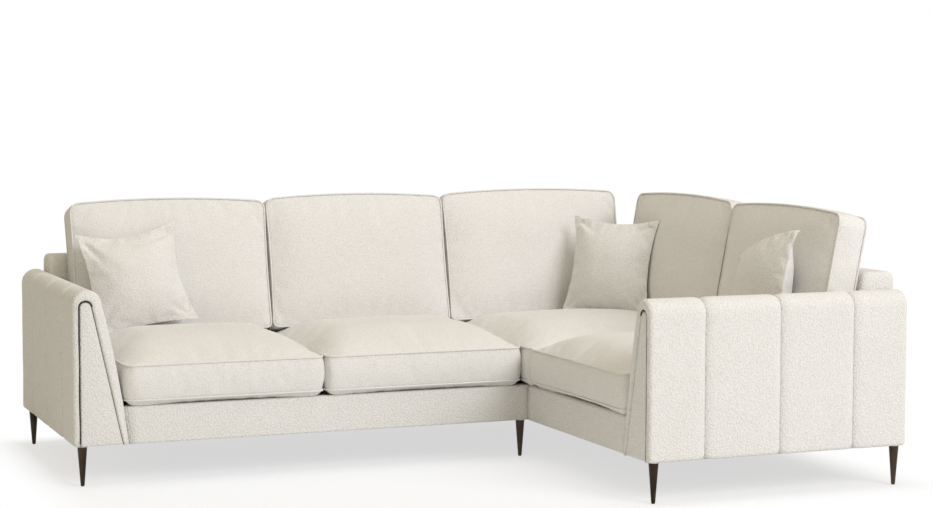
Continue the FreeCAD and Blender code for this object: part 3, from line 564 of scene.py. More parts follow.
def stand(mesh, origin, across, up, out):
    """Stand a mesh drawn flat on three directions at a place."""
    points = coords(mesh)
    placed = origin + points[:, :1] * across + points[:, 1:2] * up + points[:, 2:] * out
    set_coords(mesh, placed)


def to_run(points, run):
    """Move points drawn from a rear plane into the long run or the return."""
    if run == "long":
        return points + np.array([0, REAR, 0])
    return np.column_stack([points[:, 1] + RIGHT, -points[:, 0], points[:, 2]])


def pucker(mesh, seed, depth=0.0016):
    """Pull small tucks into the cloth beside its seams and let it wander elsewhere."""
    points, seam = coords(mesh), seam_numbers(mesh) > 0
    gap = np.empty(len(points))
    for start in range(0, len(points), 2000):
        part = slice(start, start + 2000)
        gap[part] = np.sqrt(((points[part, None] - points[seam][None]) ** 2).sum(2)).min(1)
    near = np.exp(-((gap - 0.016) / 0.014) ** 2)
    tucks = wander(points, 0.021, depth, seed) * near
    slow = wander(points, 0.16, 0.0035, seed + 5) * np.clip(gap / 0.08, 0, 1)
    moved = points + coords(mesh, "normal") * (tucks + slow)[:, None]
    moved[seam] = points[seam]
    set_coords(mesh, moved)


def settle(pieces):
    """Let air pressure fill covers that are held along their seams: pressure, slack and cap of each."""
    scene = bpy.context.scene
    before = {}
    for piece, (press, slack, _) in pieces.items():
        before[piece] = coords(piece.data)
        held = piece.vertex_groups.new(name="held")
        held.add([int(i) for i in np.flatnonzero(seam_numbers(piece.data) > 0)], 1.0, "REPLACE")
        cloth = piece.modifiers.new("Cloth", "CLOTH")
        for key, value in CLOTH.items():
            setattr(cloth.settings, key, value)
        cloth.settings.uniform_pressure_force = press
        cloth.settings.shrink_min = -slack
        cloth.settings.effector_weights.gravity = 0.0
        cloth.collision_settings.use_collision = False
        cloth.collision_settings.use_self_collision = False
        cloth.point_cache.frame_start = 1
        cloth.point_cache.frame_end = SETTLE_FRAMES
    for number in range(1, SETTLE_FRAMES + 1):
        scene.frame_set(number)
    graph = bpy.context.evaluated_depsgraph_get()
    after = {piece: coords(piece.evaluated_get(graph).data) for piece in pieces}
    scene.frame_set(1)
    for piece, (_, _, cap) in pieces.items():
        step = after[piece] - before[piece]
        length = np.linalg.norm(step, axis=1, keepdims=True)
        share = cap * np.tanh(length / cap) / np.maximum(length, 1e-9)
        piece.modifiers.remove(piece.modifiers["Cloth"])
        piece.vertex_groups.clear()
        set_coords(piece.data, before[piece] + step * share)


# Trims that follow a seam

def new_trim(name, sizes):
    """An empty trim group: a guide, its sizes and a finish go in, a mesh comes out."""
    inputs = [("Geometry", "Geometry")] + sizes + [("Cover", "Material")]
    return new_group(name, "GeometryNodeTree", inputs, [("Geometry", "Geometry")])


def end_trim(tree, given, end, made):
    """Turn a trim into one smooth mesh with its finish."""
    real = node(tree, "GeometryNodeRealizeInstances", {0: made})
    smooth = node(tree, "GeometryNodeSetShadeSmooth", {0: real.outputs[0]})
    values = {"Geometry": smooth.outputs[0], "Material": given["Cover"]}
    give(tree, end, node(tree, "GeometryNodeSetMaterial", values).outputs[0])


def piping_group():
    """Piping: a round cord swept along a seam."""
    tree, given, end = new_trim("Piping", [("Radius", "Float", 0.003)])
    values = {"Radius": given["Radius"], "Resolution": 8}
    ring = node(tree, "GeometryNodeCurvePrimitiveCircle", values)
    values = {"Curve": given["Geometry"], "Profile Curve": ring.outputs["Curve"], "Fill Caps": True}
    end_trim(tree, given, end, node(tree, "GeometryNodeCurveToMesh", values).outputs[0])


def staple_group():
    """Staples: short wires at an even pitch along an edge."""
    sizes = [("Pitch", "Float", 0.045), ("Wire", "Float", 0.0005), ("Length", "Float", 0.011)]
    tree, given, end = new_trim("Staples", sizes)
    values = {"Curve": given["Geometry"], "Length": given["Pitch"]}
    evenly = node(tree, "GeometryNodeResampleCurve", values, mode="LENGTH")
    values = {"Vector": tree.nodes.new("GeometryNodeInputTangent").outputs[0]}
    aim = node(tree, "FunctionNodeAlignRotationToVector", values, axis="Z")
    values = {"Vertices": 6, "Radius": given["Wire"], "Depth": given["Length"]}
    wire = node(tree, "GeometryNodeMeshCylinder", values)
    values = {"Points": evenly.outputs[0], "Instance": wire.outputs["Mesh"], "Rotation": aim.outputs[0]}
    end_trim(tree, given, end, node(tree, "GeometryNodeInstanceOnPoints", values).outputs[0])


def along(name, lines, group, values, body, finish="Piping cloth"):
    """Sweep a trim along lines and keep the result as one plain mesh piece."""
    curve = bpy.data.curves.new(name, "CURVE")
    curve.dimensions = "3D"
    for points, closed in lines:
        spline = curve.splines.new("POLY")
        spline.points.add(len(points) - 1)
        spline.points.foreach_set("co", np.column_stack([points, np.ones(len(points))]).ravel())
        spline.use_cyclic_u = closed
    guide = link(name + "_guide", curve)
    modifier = guide.modifiers.new("Trim", "NODES")
    modifier.node_group = tree = bpy.data.node_groups[group]
    sockets = {s.name: s.identifier for s in tree.interface.items_tree if s.in_out == "INPUT"}
    for key, value in dict(values, Cover=bpy.data.materials[finish]).items():
        modifier[sockets[key]] = value
    bpy.context.view_layer.update()
    graph = bpy.context.evaluated_depsgraph_get()
    mesh = bpy.data.meshes.new_from_object(guide.evaluated_get(graph), depsgraph=graph)
    mesh.name = name
    bpy.data.objects.remove(guide)
    shape = bmesh.new()
    shape.from_mesh(mesh)
    bmesh.ops.recalc_face_normals(shape, faces=shape.faces)
    shape.to_mesh(mesh)
    shape.free()
    piece = link(name, mesh)
    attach(piece, body)


def seam_line(mesh, face):
    """Points of one seam of a cushion, in order, pushed a little outwards."""
    numbers = seam_numbers(mesh) - face
    chosen = np.flatnonzero((numbers > 0) & (numbers <= SECOND))
    chosen = chosen[np.argsort(numbers[chosen])]
    return coords(mesh)[chosen] + coords(mesh, "normal")[chosen] * PIPING_LIFT


# Arms, drawn with X from the outer face inwards and Y from the front to the back

ARM_BASE, ARM_SLOPE, ARM_ROLL = 0.184, math.radians(7), 0.014
CREST, CREST_X = 0.0464, 0.050
RIM_OUTER, RIM_TOP = 0.019, 0.033
RIM_INNER = CREST_X + CREST * math.cos(ARM_SLOPE) - 0.031
# Depths of the sewn channels, their own depth and width, and where the pad needs rings beside them
ARM_STOPS = (0.200, 0.470, 0.740)
CHANNEL_DEPTH, CHANNEL_WIDTH = 0.0125, 0.032
CHANNEL_STEPS = (0.0, 0.001, 0.0028, 0.006, 0.011, 0.018, 0.027)


def polyline(pieces):
    """Join pieces of a section, leaving out the shared ends."""
    return np.concatenate([pieces[0]] + [piece[1:] for piece in pieces[1:]])


def upright(x, low, high, count):
    """Points straight up or down a section."""
    return np.column_stack([np.full(count, x), np.linspace(low, high, count)])


def at_depth(section, depth):
    """A section as points in the arm's end plane, moved back by a depth."""
    return np.column_stack([section[:, 0], np.full(len(section), depth), section[:, 1]])


def sweep_arc(centre, radius, start, end, count):
    """Points on an arc in the section plane, angles in degrees."""
    angles = np.radians(np.linspace(start, end, count + 1))
    return np.column_stack([centre[0] + radius * np.cos(angles), centre[1] + radius * np.sin(angles)])


def arm_section(outer, inner):
    """The arm's outline from its inner foot over the top to its outer foot."""
    reach = CREST - inner
    centre = np.array([CREST_X, ARM_TOP - CREST])
    top = centre + reach * np.array([math.cos(ARM_SLOPE), math.sin(ARM_SLOPE)])
    foot = np.array([ARM_BASE - inner, FLOOR_GAP + 0.7 * inner])
    t = np.linspace(0, 1, 27)[:, None]
    across = (foot - top) / np.linalg.norm(foot - top)
    bulge = np.array([-across[1], across[0]]) * 0.0075
    face = foot * (1 - t) + top * t + bulge * 4 * t * (1 - t)
    tall = ARM_TOP - outer - centre[1]
    angles = np.radians(np.linspace(7, 90, 10))
    rise = np.sin(angles) * (reach + (tall - reach) * angles / math.pi * 2)
    shoulder = centre + np.column_stack([np.cos(angles) * reach, rise])
    crest = sweep_arc((CREST_X, ARM_TOP - CREST_X), CREST_X - outer, 90, 180, 10)
    base = FLOOR_GAP + 0.7 * outer
    side = upright(outer, ARM_TOP - CREST_X, base + 0.012, 31)
    heel = sweep_arc((outer + 0.012, base + 0.012), 0.012, 180, 270, 4)
    return polyline([face, shoulder, crest, side, heel])


def arch(outer, inner, top):
    """Edges, radius and spring of the arch in the arm's end, inside the rim by three margins."""
    left, right = RIM_OUTER + outer, RIM_INNER - inner
    radius = (right - left) / 2
    return left, right, radius, ARM_TOP - RIM_TOP - top - radius


def tunnel_section():
    """The outline of the space inside the pad, with as many points as the arm."""
    left, right, radius, spring = arch(0, 0, 0)
    t = np.linspace(0, 1, 27)[:, None]
    face = np.array([ARM_BASE - 0.020, FLOOR_GAP]) * (1 - t) + np.array([right, spring]) * t
    over = sweep_arc((left + radius, spring), radius, 0, 180, 19)
    side = upright(left, spring, FLOOR_GAP + 0.004, 31)
    return polyline([face, over, side, upright(left, FLOOR_GAP + 0.004, FLOOR_GAP, 5)])


def channel_tuck(depth):
    """How far the cover is drawn in at the sewn channels."""
    tuck = 0.0
    for stop in ARM_STOPS:
        away = min(1.0, abs(depth - stop) / CHANNEL_WIDTH)
        tuck = max(tuck, CHANNEL_DEPTH * (1 - math.sqrt(1 - (1 - away) ** 2)))
    return tuck


def arm_mesh(name):
    """Channelled pad that wraps the arm, its rolled rims and the space inside it."""
    rings, depths = [], []
    tunnel = tunnel_section()
    rim = arm_section(ARM_ROLL, ARM_ROLL)
    for share, lift in ((0.0, 0.0), (0.08, 0.0022), (0.3, 0.0035), (0.6, 0.003), (0.85, 0.0012)):
        rings.append(tunnel * (1 - share) + rim * share)
        depths.append(0.004 - 0.004 * min(1, share * 12) - lift)
    for step in range(7):
        angle = math.radians(90 - 15 * step)
        tuck = ARM_ROLL * (1 - math.cos(angle))
        rings.append(arm_section(tuck, tuck))
        depths.append(ARM_ROLL * (1 - math.sin(angle)))
    stations = {round(x, 4) for x in np.linspace(0.024, RUN - 0.024, 44)}
    for stop in ARM_STOPS:
        stations |= {round(stop + way * step, 4) for way in (-1, 1) for step in CHANNEL_STEPS}
    front = len(rings)
    for depth in sorted(stations):
        rings.append(arm_section(channel_tuck(depth), 0.0))
        depths.append(depth)
    for index in range(front - 1, -1, -1):
        rings.append(rings[index])
        depths.append(RUN - depths[index])
    outer = np.stack([at_depth(ring, depth) for ring, depth in zip(rings, depths)])
    inner = np.stack([at_depth(tunnel, depth) for depth in np.clip(depths, 0.004, RUN - 0.004)])
    outer[:, 27:47, 1] += gathers(outer[:, 27:47], front)
    flat = np.interp(np.arange(outer.shape[1]), [36, 50], [0.0, 0.85])
    outer[..., 1] += flat * (np.clip(outer[..., 1], 0, RUN) - outer[..., 1])
    rows, cols = outer.shape[:2]
    index = np.arange(rows * cols).reshape(rows, cols)
    second = index + rows * cols
    faces = grid_faces(index) + grid_faces(second)
    for column in (0, cols - 1):
        faces += grid_faces(np.column_stack([index[:, column], second[:, column]]))
    points = np.concatenate([outer.reshape(-1, 3), inner.reshape(-1, 3)])
    slow = wander(points, 0.11, 0.0022, 3.0)
    loose = np.repeat([1.0, 0.0], rows * cols)
    points[:, 0] += slow * loose * np.where(points[:, 0] < 0.05, 1, -1) * 0.6
    return mesh_of(name, points, faces)


def gathers(part, front):
    """Small folds where the cover is drawn round the arch of the front panel."""
    rows, cols = part.shape[:2]
    waves = np.sin(np.arange(cols) * 2.1) * 0.0018
    share = np.zeros(rows)
    share[:front] = np.clip(1 - np.abs(np.arange(front) - 2.5) / 3.5, 0, 1)
    share[-front:] = share[:front][::-1]
    return waves[None, :] * share[:, None]


def to_arm(points, side):
    """Move points of an arm to its end of the sofa."""
    if side == "left":
        return points + np.array([LEFT, 0, 0])
    return np.column_stack([points[:, 1] + RETURN, points[:, 0] + NEAR, points[:, 2]])


def seam_path(side):
    """Path of the dark cord that paints the shade in the seam beside an arm's front panel, up its outer edge
    and over the arch.
    """
    left, _, radius, spring = arch(0.0019, 0.0006, 0.0016)
    over = sweep_arc((left + radius, spring), radius, 180, 8, 24)
    line = polyline([upright(left, FLOOR_GAP + 0.002, spring, 30), over])
    return to_arm(at_depth(line, 0.0008), side)


def panel_mesh(name, start, thick, full, rear=False):
    """Inset end panel of an arm, slightly crowned, with a soft rim."""
    def outline(margin):
        left, right, radius, spring = arch(0.0040 + margin, margin, 0.0034 + margin)
        foot, base = ARM_BASE - 0.020 - margin, FLOOR_GAP + margin
        over = sweep_arc((left + radius, spring), radius, 0, 180, 24)
        corners = np.array([[left, base], [foot, base], [right, spring], [left, spring], [left, base]])
        return [corners[:2], corners[1:3], over, corners[3:]]
    us, vs = spaced(12, 0.5), spaced(44, 0.3)
    face, soft, wide = (filled(outline(0.0016 + margin), us, vs) for margin in (0.0035, 0.001, 0.0))
    crown = swell(us, vs, 0.09, 0.46, 0.05, 2.0) * full
    front = np.dstack([face[..., 0], start - crown, face[..., 1]])
    rims = ((soft, start + 0.0012), (wide, start + 0.0045), (wide, start + thick))
    rings = [at_depth(ring_of(grid), depth) for grid, depth in rims]
    back = np.dstack([wide[..., 0], np.full(wide.shape[:2], start + thick), wide[..., 1]])
    mesh = pad_mesh(name, front, rings, back)
    if rear:
        points = coords(mesh)
        points[:, 1] = RUN - points[:, 1]
        set_coords(mesh, points)
        mesh.flip_normals()
    return mesh


def place_arm(mesh, side, node_name):
    """Put a piece of an arm at its end of the sofa; the right arm is a mirror image."""
    set_coords(mesh, to_arm(coords(mesh), side))
    if side == "right":
        mesh.flip_normals()
    finish_piece(link(mesh.name, mesh), "frame", node_name, "Cover")


# Rails and backs

def swept(name, section, places, run, ends=None, seed=1.0, loose=0.0):
    """A closed section carried along a run, with closed ends."""
    rows = []
    for place in places:
        points = at_height(np.array(section, float), place)
        if ends is not None:
            points = ends(points)
        rows.append(points[:, [2, 0, 1]])
    grid = np.stack(rows)
    count, size = grid.shape[:2]
    index = np.arange(count * size).reshape(count, size)
    faces = grid_faces(np.column_stack([index, index[:, 0]]))
    faces += [tuple(int(i) for i in index[0]), tuple(int(i) for i in index[-1][::-1])]
    points = grid.reshape(-1, 3)
    if loose:
        points[:, 1] += wander(points, 0.13, loose, seed)
    return mesh_of(name, to_run(points, run), faces)


def behind_arm(tip, side):
    """Carries one end of a rail cover up to the sloping face of the arm."""
    def ends(points):
        slope = (ARM_BASE - 0.1) / (ARM_TOP - FLOOR_GAP)
        rise = np.clip(points[:, 1] - FLOOR_GAP, 0, None) * slope
        share = np.clip(1 - abs(points[:, 2] - tip) / 0.09, 0, None)
        return np.column_stack([points[:, :2], points[:, 2] + side * share * rise * 0.9])
    return ends


def cover_section():
    """Padded band over the front rail, with lips over and under the timber."""
    front, base = -RUN + 0.008, FLOOR_GAP
    timber, lip = front + 0.018, front + 0.046
    curve = sweep_arc((front + 0.010, RAIL_TOP - 0.010), 0.010, 90, 180, 5)
    face = upright(front, RAIL_TOP - 0.014, base + 0.008, 9)
    face[:, 0] -= 0.002 * (1 - np.linspace(-1, 1, 9) ** 2)
    toe = sweep_arc((front + 0.006, base + 0.006), 0.006, 180, 270, 4)
    lower = ((lip, base), (lip, base + 0.002), (timber, base + 0.002))
    upper = ((timber, RAIL_TOP - 0.006), (lip, RAIL_TOP - 0.006), (lip, RAIL_TOP))
    return np.concatenate([curve, face, toe, lower, upper])


def back_section(run):
    """Upholstered back: upright rear, rolled top, raked front and a rear skirt."""
    lean = LEAN[run]
    low, spring = RAIL_TOP + 0.006, BACK_TOP - BACK_ROUND
    rear = upright(0, FLOOR_GAP, spring, 12)
    top = sweep_arc((-BACK_ROUND, spring), BACK_ROUND, 0, 90, 8)[1:]
    centre = (-BACK_DEPTH + BACK_ROUND / math.cos(lean), spring)
    flat = np.column_stack([np.linspace(-BACK_ROUND, centre[0], 6)[1:-1], np.full(4, BACK_TOP)])
    shoulder = sweep_arc(centre, BACK_ROUND, 90, 180 - math.degrees(lean), 8)
    foot = -BACK_DEPTH - (spring - low) * math.tan(lean)
    t = np.linspace(0, 1, 14)[1:, None]
    face = shoulder[-1] * (1 - t) + np.array([foot, low]) * t
    tail = np.array([[-0.012, low], [-0.012, FLOOR_GAP]])
    return np.concatenate([rear, top, flat, shoulder, face, tail])


def rounded_end(gap, radius):
    """How far a section is drawn in near a free end."""
    if gap >= radius:
        return 0.0
    return radius - math.sqrt(max(0.0, radius ** 2 - (radius - gap) ** 2))


def drawn_in(section, tuck):
    """A back's section pulled in by a tuck along its visible rim."""
    across = tuck * np.clip(-section[:, 0] / (BACK_DEPTH / 2) - 1, -1, 1)
    down = -tuck * np.clip((section[:, 1] - (BACK_TOP - 0.05)) / 0.05, 0, 1)
    push = np.column_stack([across, down, np.zeros(len(section))])
    push[section[:, 1] < RAIL_TOP + 0.01] = 0
    return section + push


def joined(name, first, second):
    """Two meshes as one."""
    shape = bmesh.new()
    shape.from_mesh(first)
    shape.from_mesh(second)
    mesh = bpy.data.meshes.new(name)
    shape.to_mesh(mesh)
    shape.free()
    return mesh


def skirt_mesh(name, run, start, end):
    """The part of a back's skirt that hangs below the seats."""
    low, high = FLOOR_GAP, RAIL_TOP + 0.0055
    section = [(0.0, low), (0.0, high), (-0.012, high), (-0.012, low)]
    return swept(name, section, np.linspace(start, end, 6), run)


def back_mesh(name, run, tips, radii):
    """One upholstered back, with its free ends softened by their radii."""
    start, end = tips
    near = np.array([0.0, 0.08, 0.22, 0.44, 0.72, 1.0])
    inner = np.linspace(start, end, max(8, int((end - start) / 0.04)))
    places = [p for p in inner if start + 0.02 < p < end - 0.02] + [start, end]
    for tip, way, radius in zip(tips, (1, -1), radii):
        places += list(tip + way * near * radius)

    def ends(points):
        gaps = zip(tips, (1, -1), radii)
        tuck = max(rounded_end((points[0, 2] - tip) * way, radius) for tip, way, radius in gaps)
        return drawn_in(points, tuck)
    places = sorted(set(round(p, 5) for p in places))
    return swept(name, back_section(run), places, run, ends, 2.0, 0.0016)


# Settings and operators

def length(name, description, default):
    """A length that the panel shows."""
    return bpy.props.FloatProperty(name=name, description=description, default=default, unit="LENGTH")


def colour(name, description, *default):
    """A colour that the panel shows."""
    return bpy.props.FloatVectorProperty(
        name=name, description=description, subtype="COLOR", size=4, default=default + (1,))


class SofaSizes(bpy.types.PropertyGroup):
    """Sizes that shape the upholstery."""
    cloth_step: length("Cloth step", "Spacing of the cover's grid", 0.0155)
    seat_crown: length("Seat crown", "Rise of a seat cushion above its piping", 0.056)
    seat_puff: length("Seat fullness", "Extra rise of a seat in front of the backs", 0.012)
    back_crown: length("Back crown", "Rise of a back cushion before its piping", 0.025)
    piping: length("Piping radius", "Radius of the piping", 0.0032)
    pebble: bpy.props.FloatProperty(name="Pebble", description="Loops of the weave per metre", default=165.0)


class SofaColours(bpy.types.PropertyGroup):
    """Colours of the sofa."""
    cover_light: colour("Cover", "Raised loops of the cover", 0.82, 0.82, 0.81)
    # The hollows' colour is painted shade between the raised loops of the cover
    cover_hollow_shade: colour("Cover hollows", "Hollows between the loops", 0.70, 0.69, 0.665)
    leg: colour("Legs", "Dark bronze of the legs", 0.022, 0.017, 0.012)
    leg_edge: colour("Leg highlights", "Rubbed bronze of the legs", 0.085, 0.062, 0.04)


class SOFA_OT_finishes(bpy.types.Operator):
    """Make the finishes of the cover, the timber, the metal and the underside"""
    bl_idname = "sofa.finishes"
    bl_label = "Finishes"

    def execute(self, context):
        sizes, colours = context.scene.sofa_sizes, context.scene.sofa_colours
        for make in (weave_group, streak_group, piping_group, staple_group):
            make()
        shades = (tuple(colours.cover_light), tuple(colours.cover_hollow_shade))
        soft = {"Sheen Weight": 0.12, "Sheen Roughness": 0.5, "Specular IOR Level": 0.2}
        # Colours, loops per metre, mottle, threads, bump and shader
        weaves = {
            "Cover": (shades, sizes.pebble, 0.15, 0.0, 0.0022, soft),
            "Fine cover": (shades, sizes.pebble * 1.5, 0.15, 0.45, 0.0009, soft),
            "Scatter cover": (shades, sizes.pebble * 1.2, 0.12, 0.15, 0.0016, soft),
            "Piping cloth": (shades, sizes.pebble * 1.8, 0.1, 0.0, 0.0006, soft),
            # Near black cloth for the cord that paints the shade in the seam beside each arm's front panel
            "Seam shade": (((0.05, 0.043, 0.035, 1), (0.02, 0.017, 0.014, 1)), 700.0, 0.3, 0.0, 0.0002, {}),
            "Deck felt": (((0.5, 0.49, 0.46, 1), (0.3, 0.29, 0.27, 1)), 420.0, 0.5, 0.0, 0.0005, {}),
            "Dust cloth": (((0.05, 0.05, 0.05, 1), (0.015, 0.015, 0.015, 1)), 600.0, 0.3, 0.0, 0.0002, {}),
            "Elastic": (((0.09, 0.09, 0.1, 1), (0.02, 0.02, 0.022, 1)), 500.0, 0.2, 0.0, 0.0004, {}),
        }
        for name, ((light, dark), pebble, mottle, threads, bump, shader) in weaves.items():
            values = {"Light": light, "Dark": dark, "Pebble": pebble, "Mottle": mottle, "Threads": threads}
            material(name, "Looped weave", values, bump, shader=shader)
        material("Timber", "Streaks", {"Scale": 26.0}, 0.0004, (1, 1, 6))
        bronze = {"Light": tuple(colours.leg_edge), "Dark": tuple(colours.leg), "Scale": 30.0}
        metal = {"Metallic": 1.0, "Specular IOR Level": 0.5}
        material("Bronze", "Streaks", bronze, 0.0001, (1, 1, 0.25), dict(metal, Roughness=0.34))
        steel = {"Light": (0.6, 0.6, 0.62, 1), "Dark": (0.42, 0.42, 0.44, 1), "Scale": 60.0}
        material("Steel", "Streaks", steel, 0.0001, shader=metal)
        plastic = {"Light": (0.05, 0.05, 0.05, 1), "Dark": (0.02, 0.02, 0.02, 1), "Scale": 90.0}
        material("Glide", "Streaks", plastic, 0.0001)
        return {"FINISHED"}


class SOFA_OT_arms(bpy.types.Operator):
    """Upholster both arms with their channelled pads and inset panels"""
    bl_idname = "sofa.arms"
    bl_label = "Arms"

    def execute(self, context):
        for side in ("left", "right"):
            arm = side + "_arm"
            place_arm(arm_mesh(arm + "_cover"), side, arm + "_pad")
            place_arm(panel_mesh(arm + "_front_cover", 0.002, 0.022, 0.003), side, arm + "_front_panel")
            # A dark cord along the panel's seam is painted shade in that crevice
            lines = [(seam_path(side), False)]
            along(arm + "_seam_shade_cord", lines, "Piping", {"Radius": 0.0018}, "frame", "Seam shade")
            rear = panel_mesh(arm + "_rear_cover", 0.003, 0.009, 0.002, rear=True)
            place_arm(rear, side, arm + "_rear_panel")
        return {"FINISHED"}


class SOFA_OT_rails(bpy.types.Operator):
    """Wrap the front rails of the long run and of the return"""
    bl_idname = "sofa.rails"
    bl_label = "Front rails"

    def execute(self, context):
        # Start and end, the end that meets an arm and the way towards that arm
        spans = {"long": (-1.0805, 1.253, -1.0805, -1), "return": (-0.0077, 0.7555, 0.7555, 1)}
        for run, (start, end, tip, side) in spans.items():
            name = run + "_rail_cover"
            places = np.linspace(start, end, int((end - start) / 0.03))
            mesh = swept(name, cover_section(), places, run, behind_arm(tip, side), 4.0, 0.0012)
            finish_piece(link(name, mesh), "frame", run + "_front_rail_cover", "Cover")
        return {"FINISHED"}


class SOFA_OT_backs(bpy.types.Operator):
    """Upholster the low backs behind the back cushions"""
    bl_idname = "sofa.backs"
    bl_label = "Backs"

    def execute(self, context):
        spans = {
            "long": ("long", (LEFT + 0.079, RIGHT), (0.018, 0.006)),
            "corner": ("return", (-(REAR - 0.13), 0.007), (0.0, 0.004)),
            "return": ("return", (0.0075, -NEAR - 0.079), (0.004, 0.018)),
        }
        for name, (run, tips, radii) in spans.items():
            mesh = back_mesh(name + "_back_cover", run, tips, radii)
            if name == "corner":
                mesh = joined(mesh.name, mesh, skirt_mesh("skirt", run, -(REAR - 0.0125), tips[0] + 0.001))
            finish_piece(link(name + "_back_cover", mesh), "frame", name + "_back_shell", "Cover")
        return {"FINISHED"}


class SOFA_OT_cushions(bpy.types.Operator):
    """Sew and fill the seat, back and scatter cushions, with their piping"""
    bl_idname = "sofa.cushions"
    bl_label = "Cushions"

    def execute(self, context):
        # Form, places, seeds, finish, fill, then pressure, slack and cap of the cloth
        kinds = (
            (seat_form, SEATS, (11.0, 12.0, 13.0, 14.0), "Fine cover", 0.8, (3.0, 0.012, 0.012)),
            (back_form, BACKS, (21.0, 22.0, 23.0, 31.0, 32.0), "Fine cover", 0.75, (3.0, 0.012, 0.012)),
            (scatter_form, SCATTERS, (41.0, 42.0, 43.0), "Scatter cover", 0.65, (2.5, 0.03, 0.010)),
        )
        made, covers = [], {}
        for form, places, seeds, finish, fill, cloth in kinds:
            for (node_name, place), seed in zip(places.items(), seeds):
                piece = link(node_name + "_cover", form(node_name, *place, seed))
                made.append((piece, node_name, finish, fill))
                covers[piece] = cloth
        settle(covers)
        for piece, node_name, finish, fill in made:
            body = node_name if node_name in frame["bodies"] else "frame"
            if node_name not in SCATTERS:
                seams = [(seam_line(piece.data, face), True) for face in (0, SECOND)]
                values = {"Radius": context.scene.sofa_sizes.piping}
                along(node_name + "_piping", seams, "Piping", values, body)
            soften = piece.modifiers.new("Soften", "SUBSURF")
            soften.levels = soften.render_levels = 1
            finish_piece(piece, body, node_name, finish)
        return {"FINISHED"}


class SOFA_OT_underside(bpy.types.Operator):
    """Lay the seat decks and stretch the dust cloths under the base"""
    bl_idname = "sofa.underside"
    bl_label = "Deck and underside"

    def execute(self, context):
        for run in ("long", "return"):
            low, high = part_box(run + "_deck_pad")
            us, vs = spaced(40, 0.2), spaced(24, 0.2)
            flat = filled(self.edges(low, high, 0.01), us, vs)
            lift = swell(us, vs, high.x - low.x, high.y - low.y, 0.02, 2.0)
            top = np.dstack([flat, low.z + 0.003 + lift * 0.003])
            base = np.dstack([flat, np.full(flat.shape[:2], low.z)])
            name = run + "_deck_felt"
            piece = link(name, pad_mesh(name, top, [], base))
            finish_piece(piece, "frame", run + "_deck_pad", "Deck felt")
            low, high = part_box(run + "_dust_cover")
            width, depth = high.x - low.x, high.y - low.y
            us, vs = np.linspace(0, 1, 61), np.linspace(0, 1, 31)
            flat = filled(self.edges(low, high, 0.001), us, vs)
            level = high.z - swell(us, vs, width, depth, 0.25, 2.0) * 0.0012
            top, base = (np.dstack([flat, level - drop]) for drop in (0.0001, 0.0009))
            name = run + "_dust_cloth"
            piece = link(name, pad_mesh(name, top, [], base))
            finish_piece(piece, "frame", run + "_dust_cover", "Dust cloth")
            rim = np.concatenate([side[:-1] for side in self.edges(low, high, 0.004, 0.012)])
            lines = [(at_height(rim, low.z - 0.0003), True)]
            values = {"Pitch": 0.045, "Wire": 0.0005, "Length": 0.011}
            along(run + "_staples", lines, "Staples", values, "frame", "Steel")
        return {"FINISHED"}

    def edges(self, low, high, radius, inset=0.0):
        """Four sides of a cloth's outline inside a box."""
        corners = rectangle(low.x + inset, high.x - inset, low.y + inset, high.y - inset)
        return soft_sides(corners, [0.0] * 4, radius)


class SOFA_OT_hardware(bpy.types.Operator):
    """Finish the legs, the timber, the straps and the fixings"""
    bl_idname = "sofa.hardware"
    bl_label = "Frame and legs"

    def execute(self, context):
        slots = {s["node"]: s["material_slot"] for s in frame["record"]["subparts"]}
        finishes = {
            "leg_metal": "Bronze", "timber": "Timber", "strap": "Elastic",
            "steel": "Steel", "glide_plastic": "Glide",
        }
        for name, piece in frame["nodes"].items():
            finish = finishes.get(slots[name])
            if finish:
                piece.data.materials.clear()
                piece.data.materials.append(bpy.data.materials[finish])
        return {"FINISHED"}


class SOFA_OT_stage(bpy.types.Operator):
    """Set the floor, the lamps and the camera"""
    bl_idname = "sofa.stage"
    bl_label = "Stage"

    def execute(self, context):
        scene = context.scene
        scene.view_settings.view_transform = "Standard"
        make_floor()
        make_world(scene)
        add_lamp("Key", (4.4, -9.2, 6.6), 6.0, 715, (0.995, 1.0, 1.065))
        add_lamp("Top", (0.3, -0.6, 5.6), 4.0, 66, (1.0, 1.0, 1.0))
        make_camera(scene)
        return {"FINISHED"}


def seen_share(tree):
    """One where the camera, a mirror or glass sees a surface, else nought."""
    rays = tree.nodes.new("ShaderNodeLightPath").outputs
    share = maths(tree, "MAXIMUM", rays["Is Camera Ray"], rays["Is Glossy Ray"])
    return maths(tree, "MAXIMUM", share, rays["Is Transmission Ray"])


def blend_out(tree, share, first, second, output):
    """Blend two shaders into the output of a material or the world."""
    values = {0: share, 1: first.outputs[0], 2: second.outputs[0]}
    tree.links.new(node(tree, "ShaderNodeMixShader", values).outputs[0], output.inputs["Surface"])


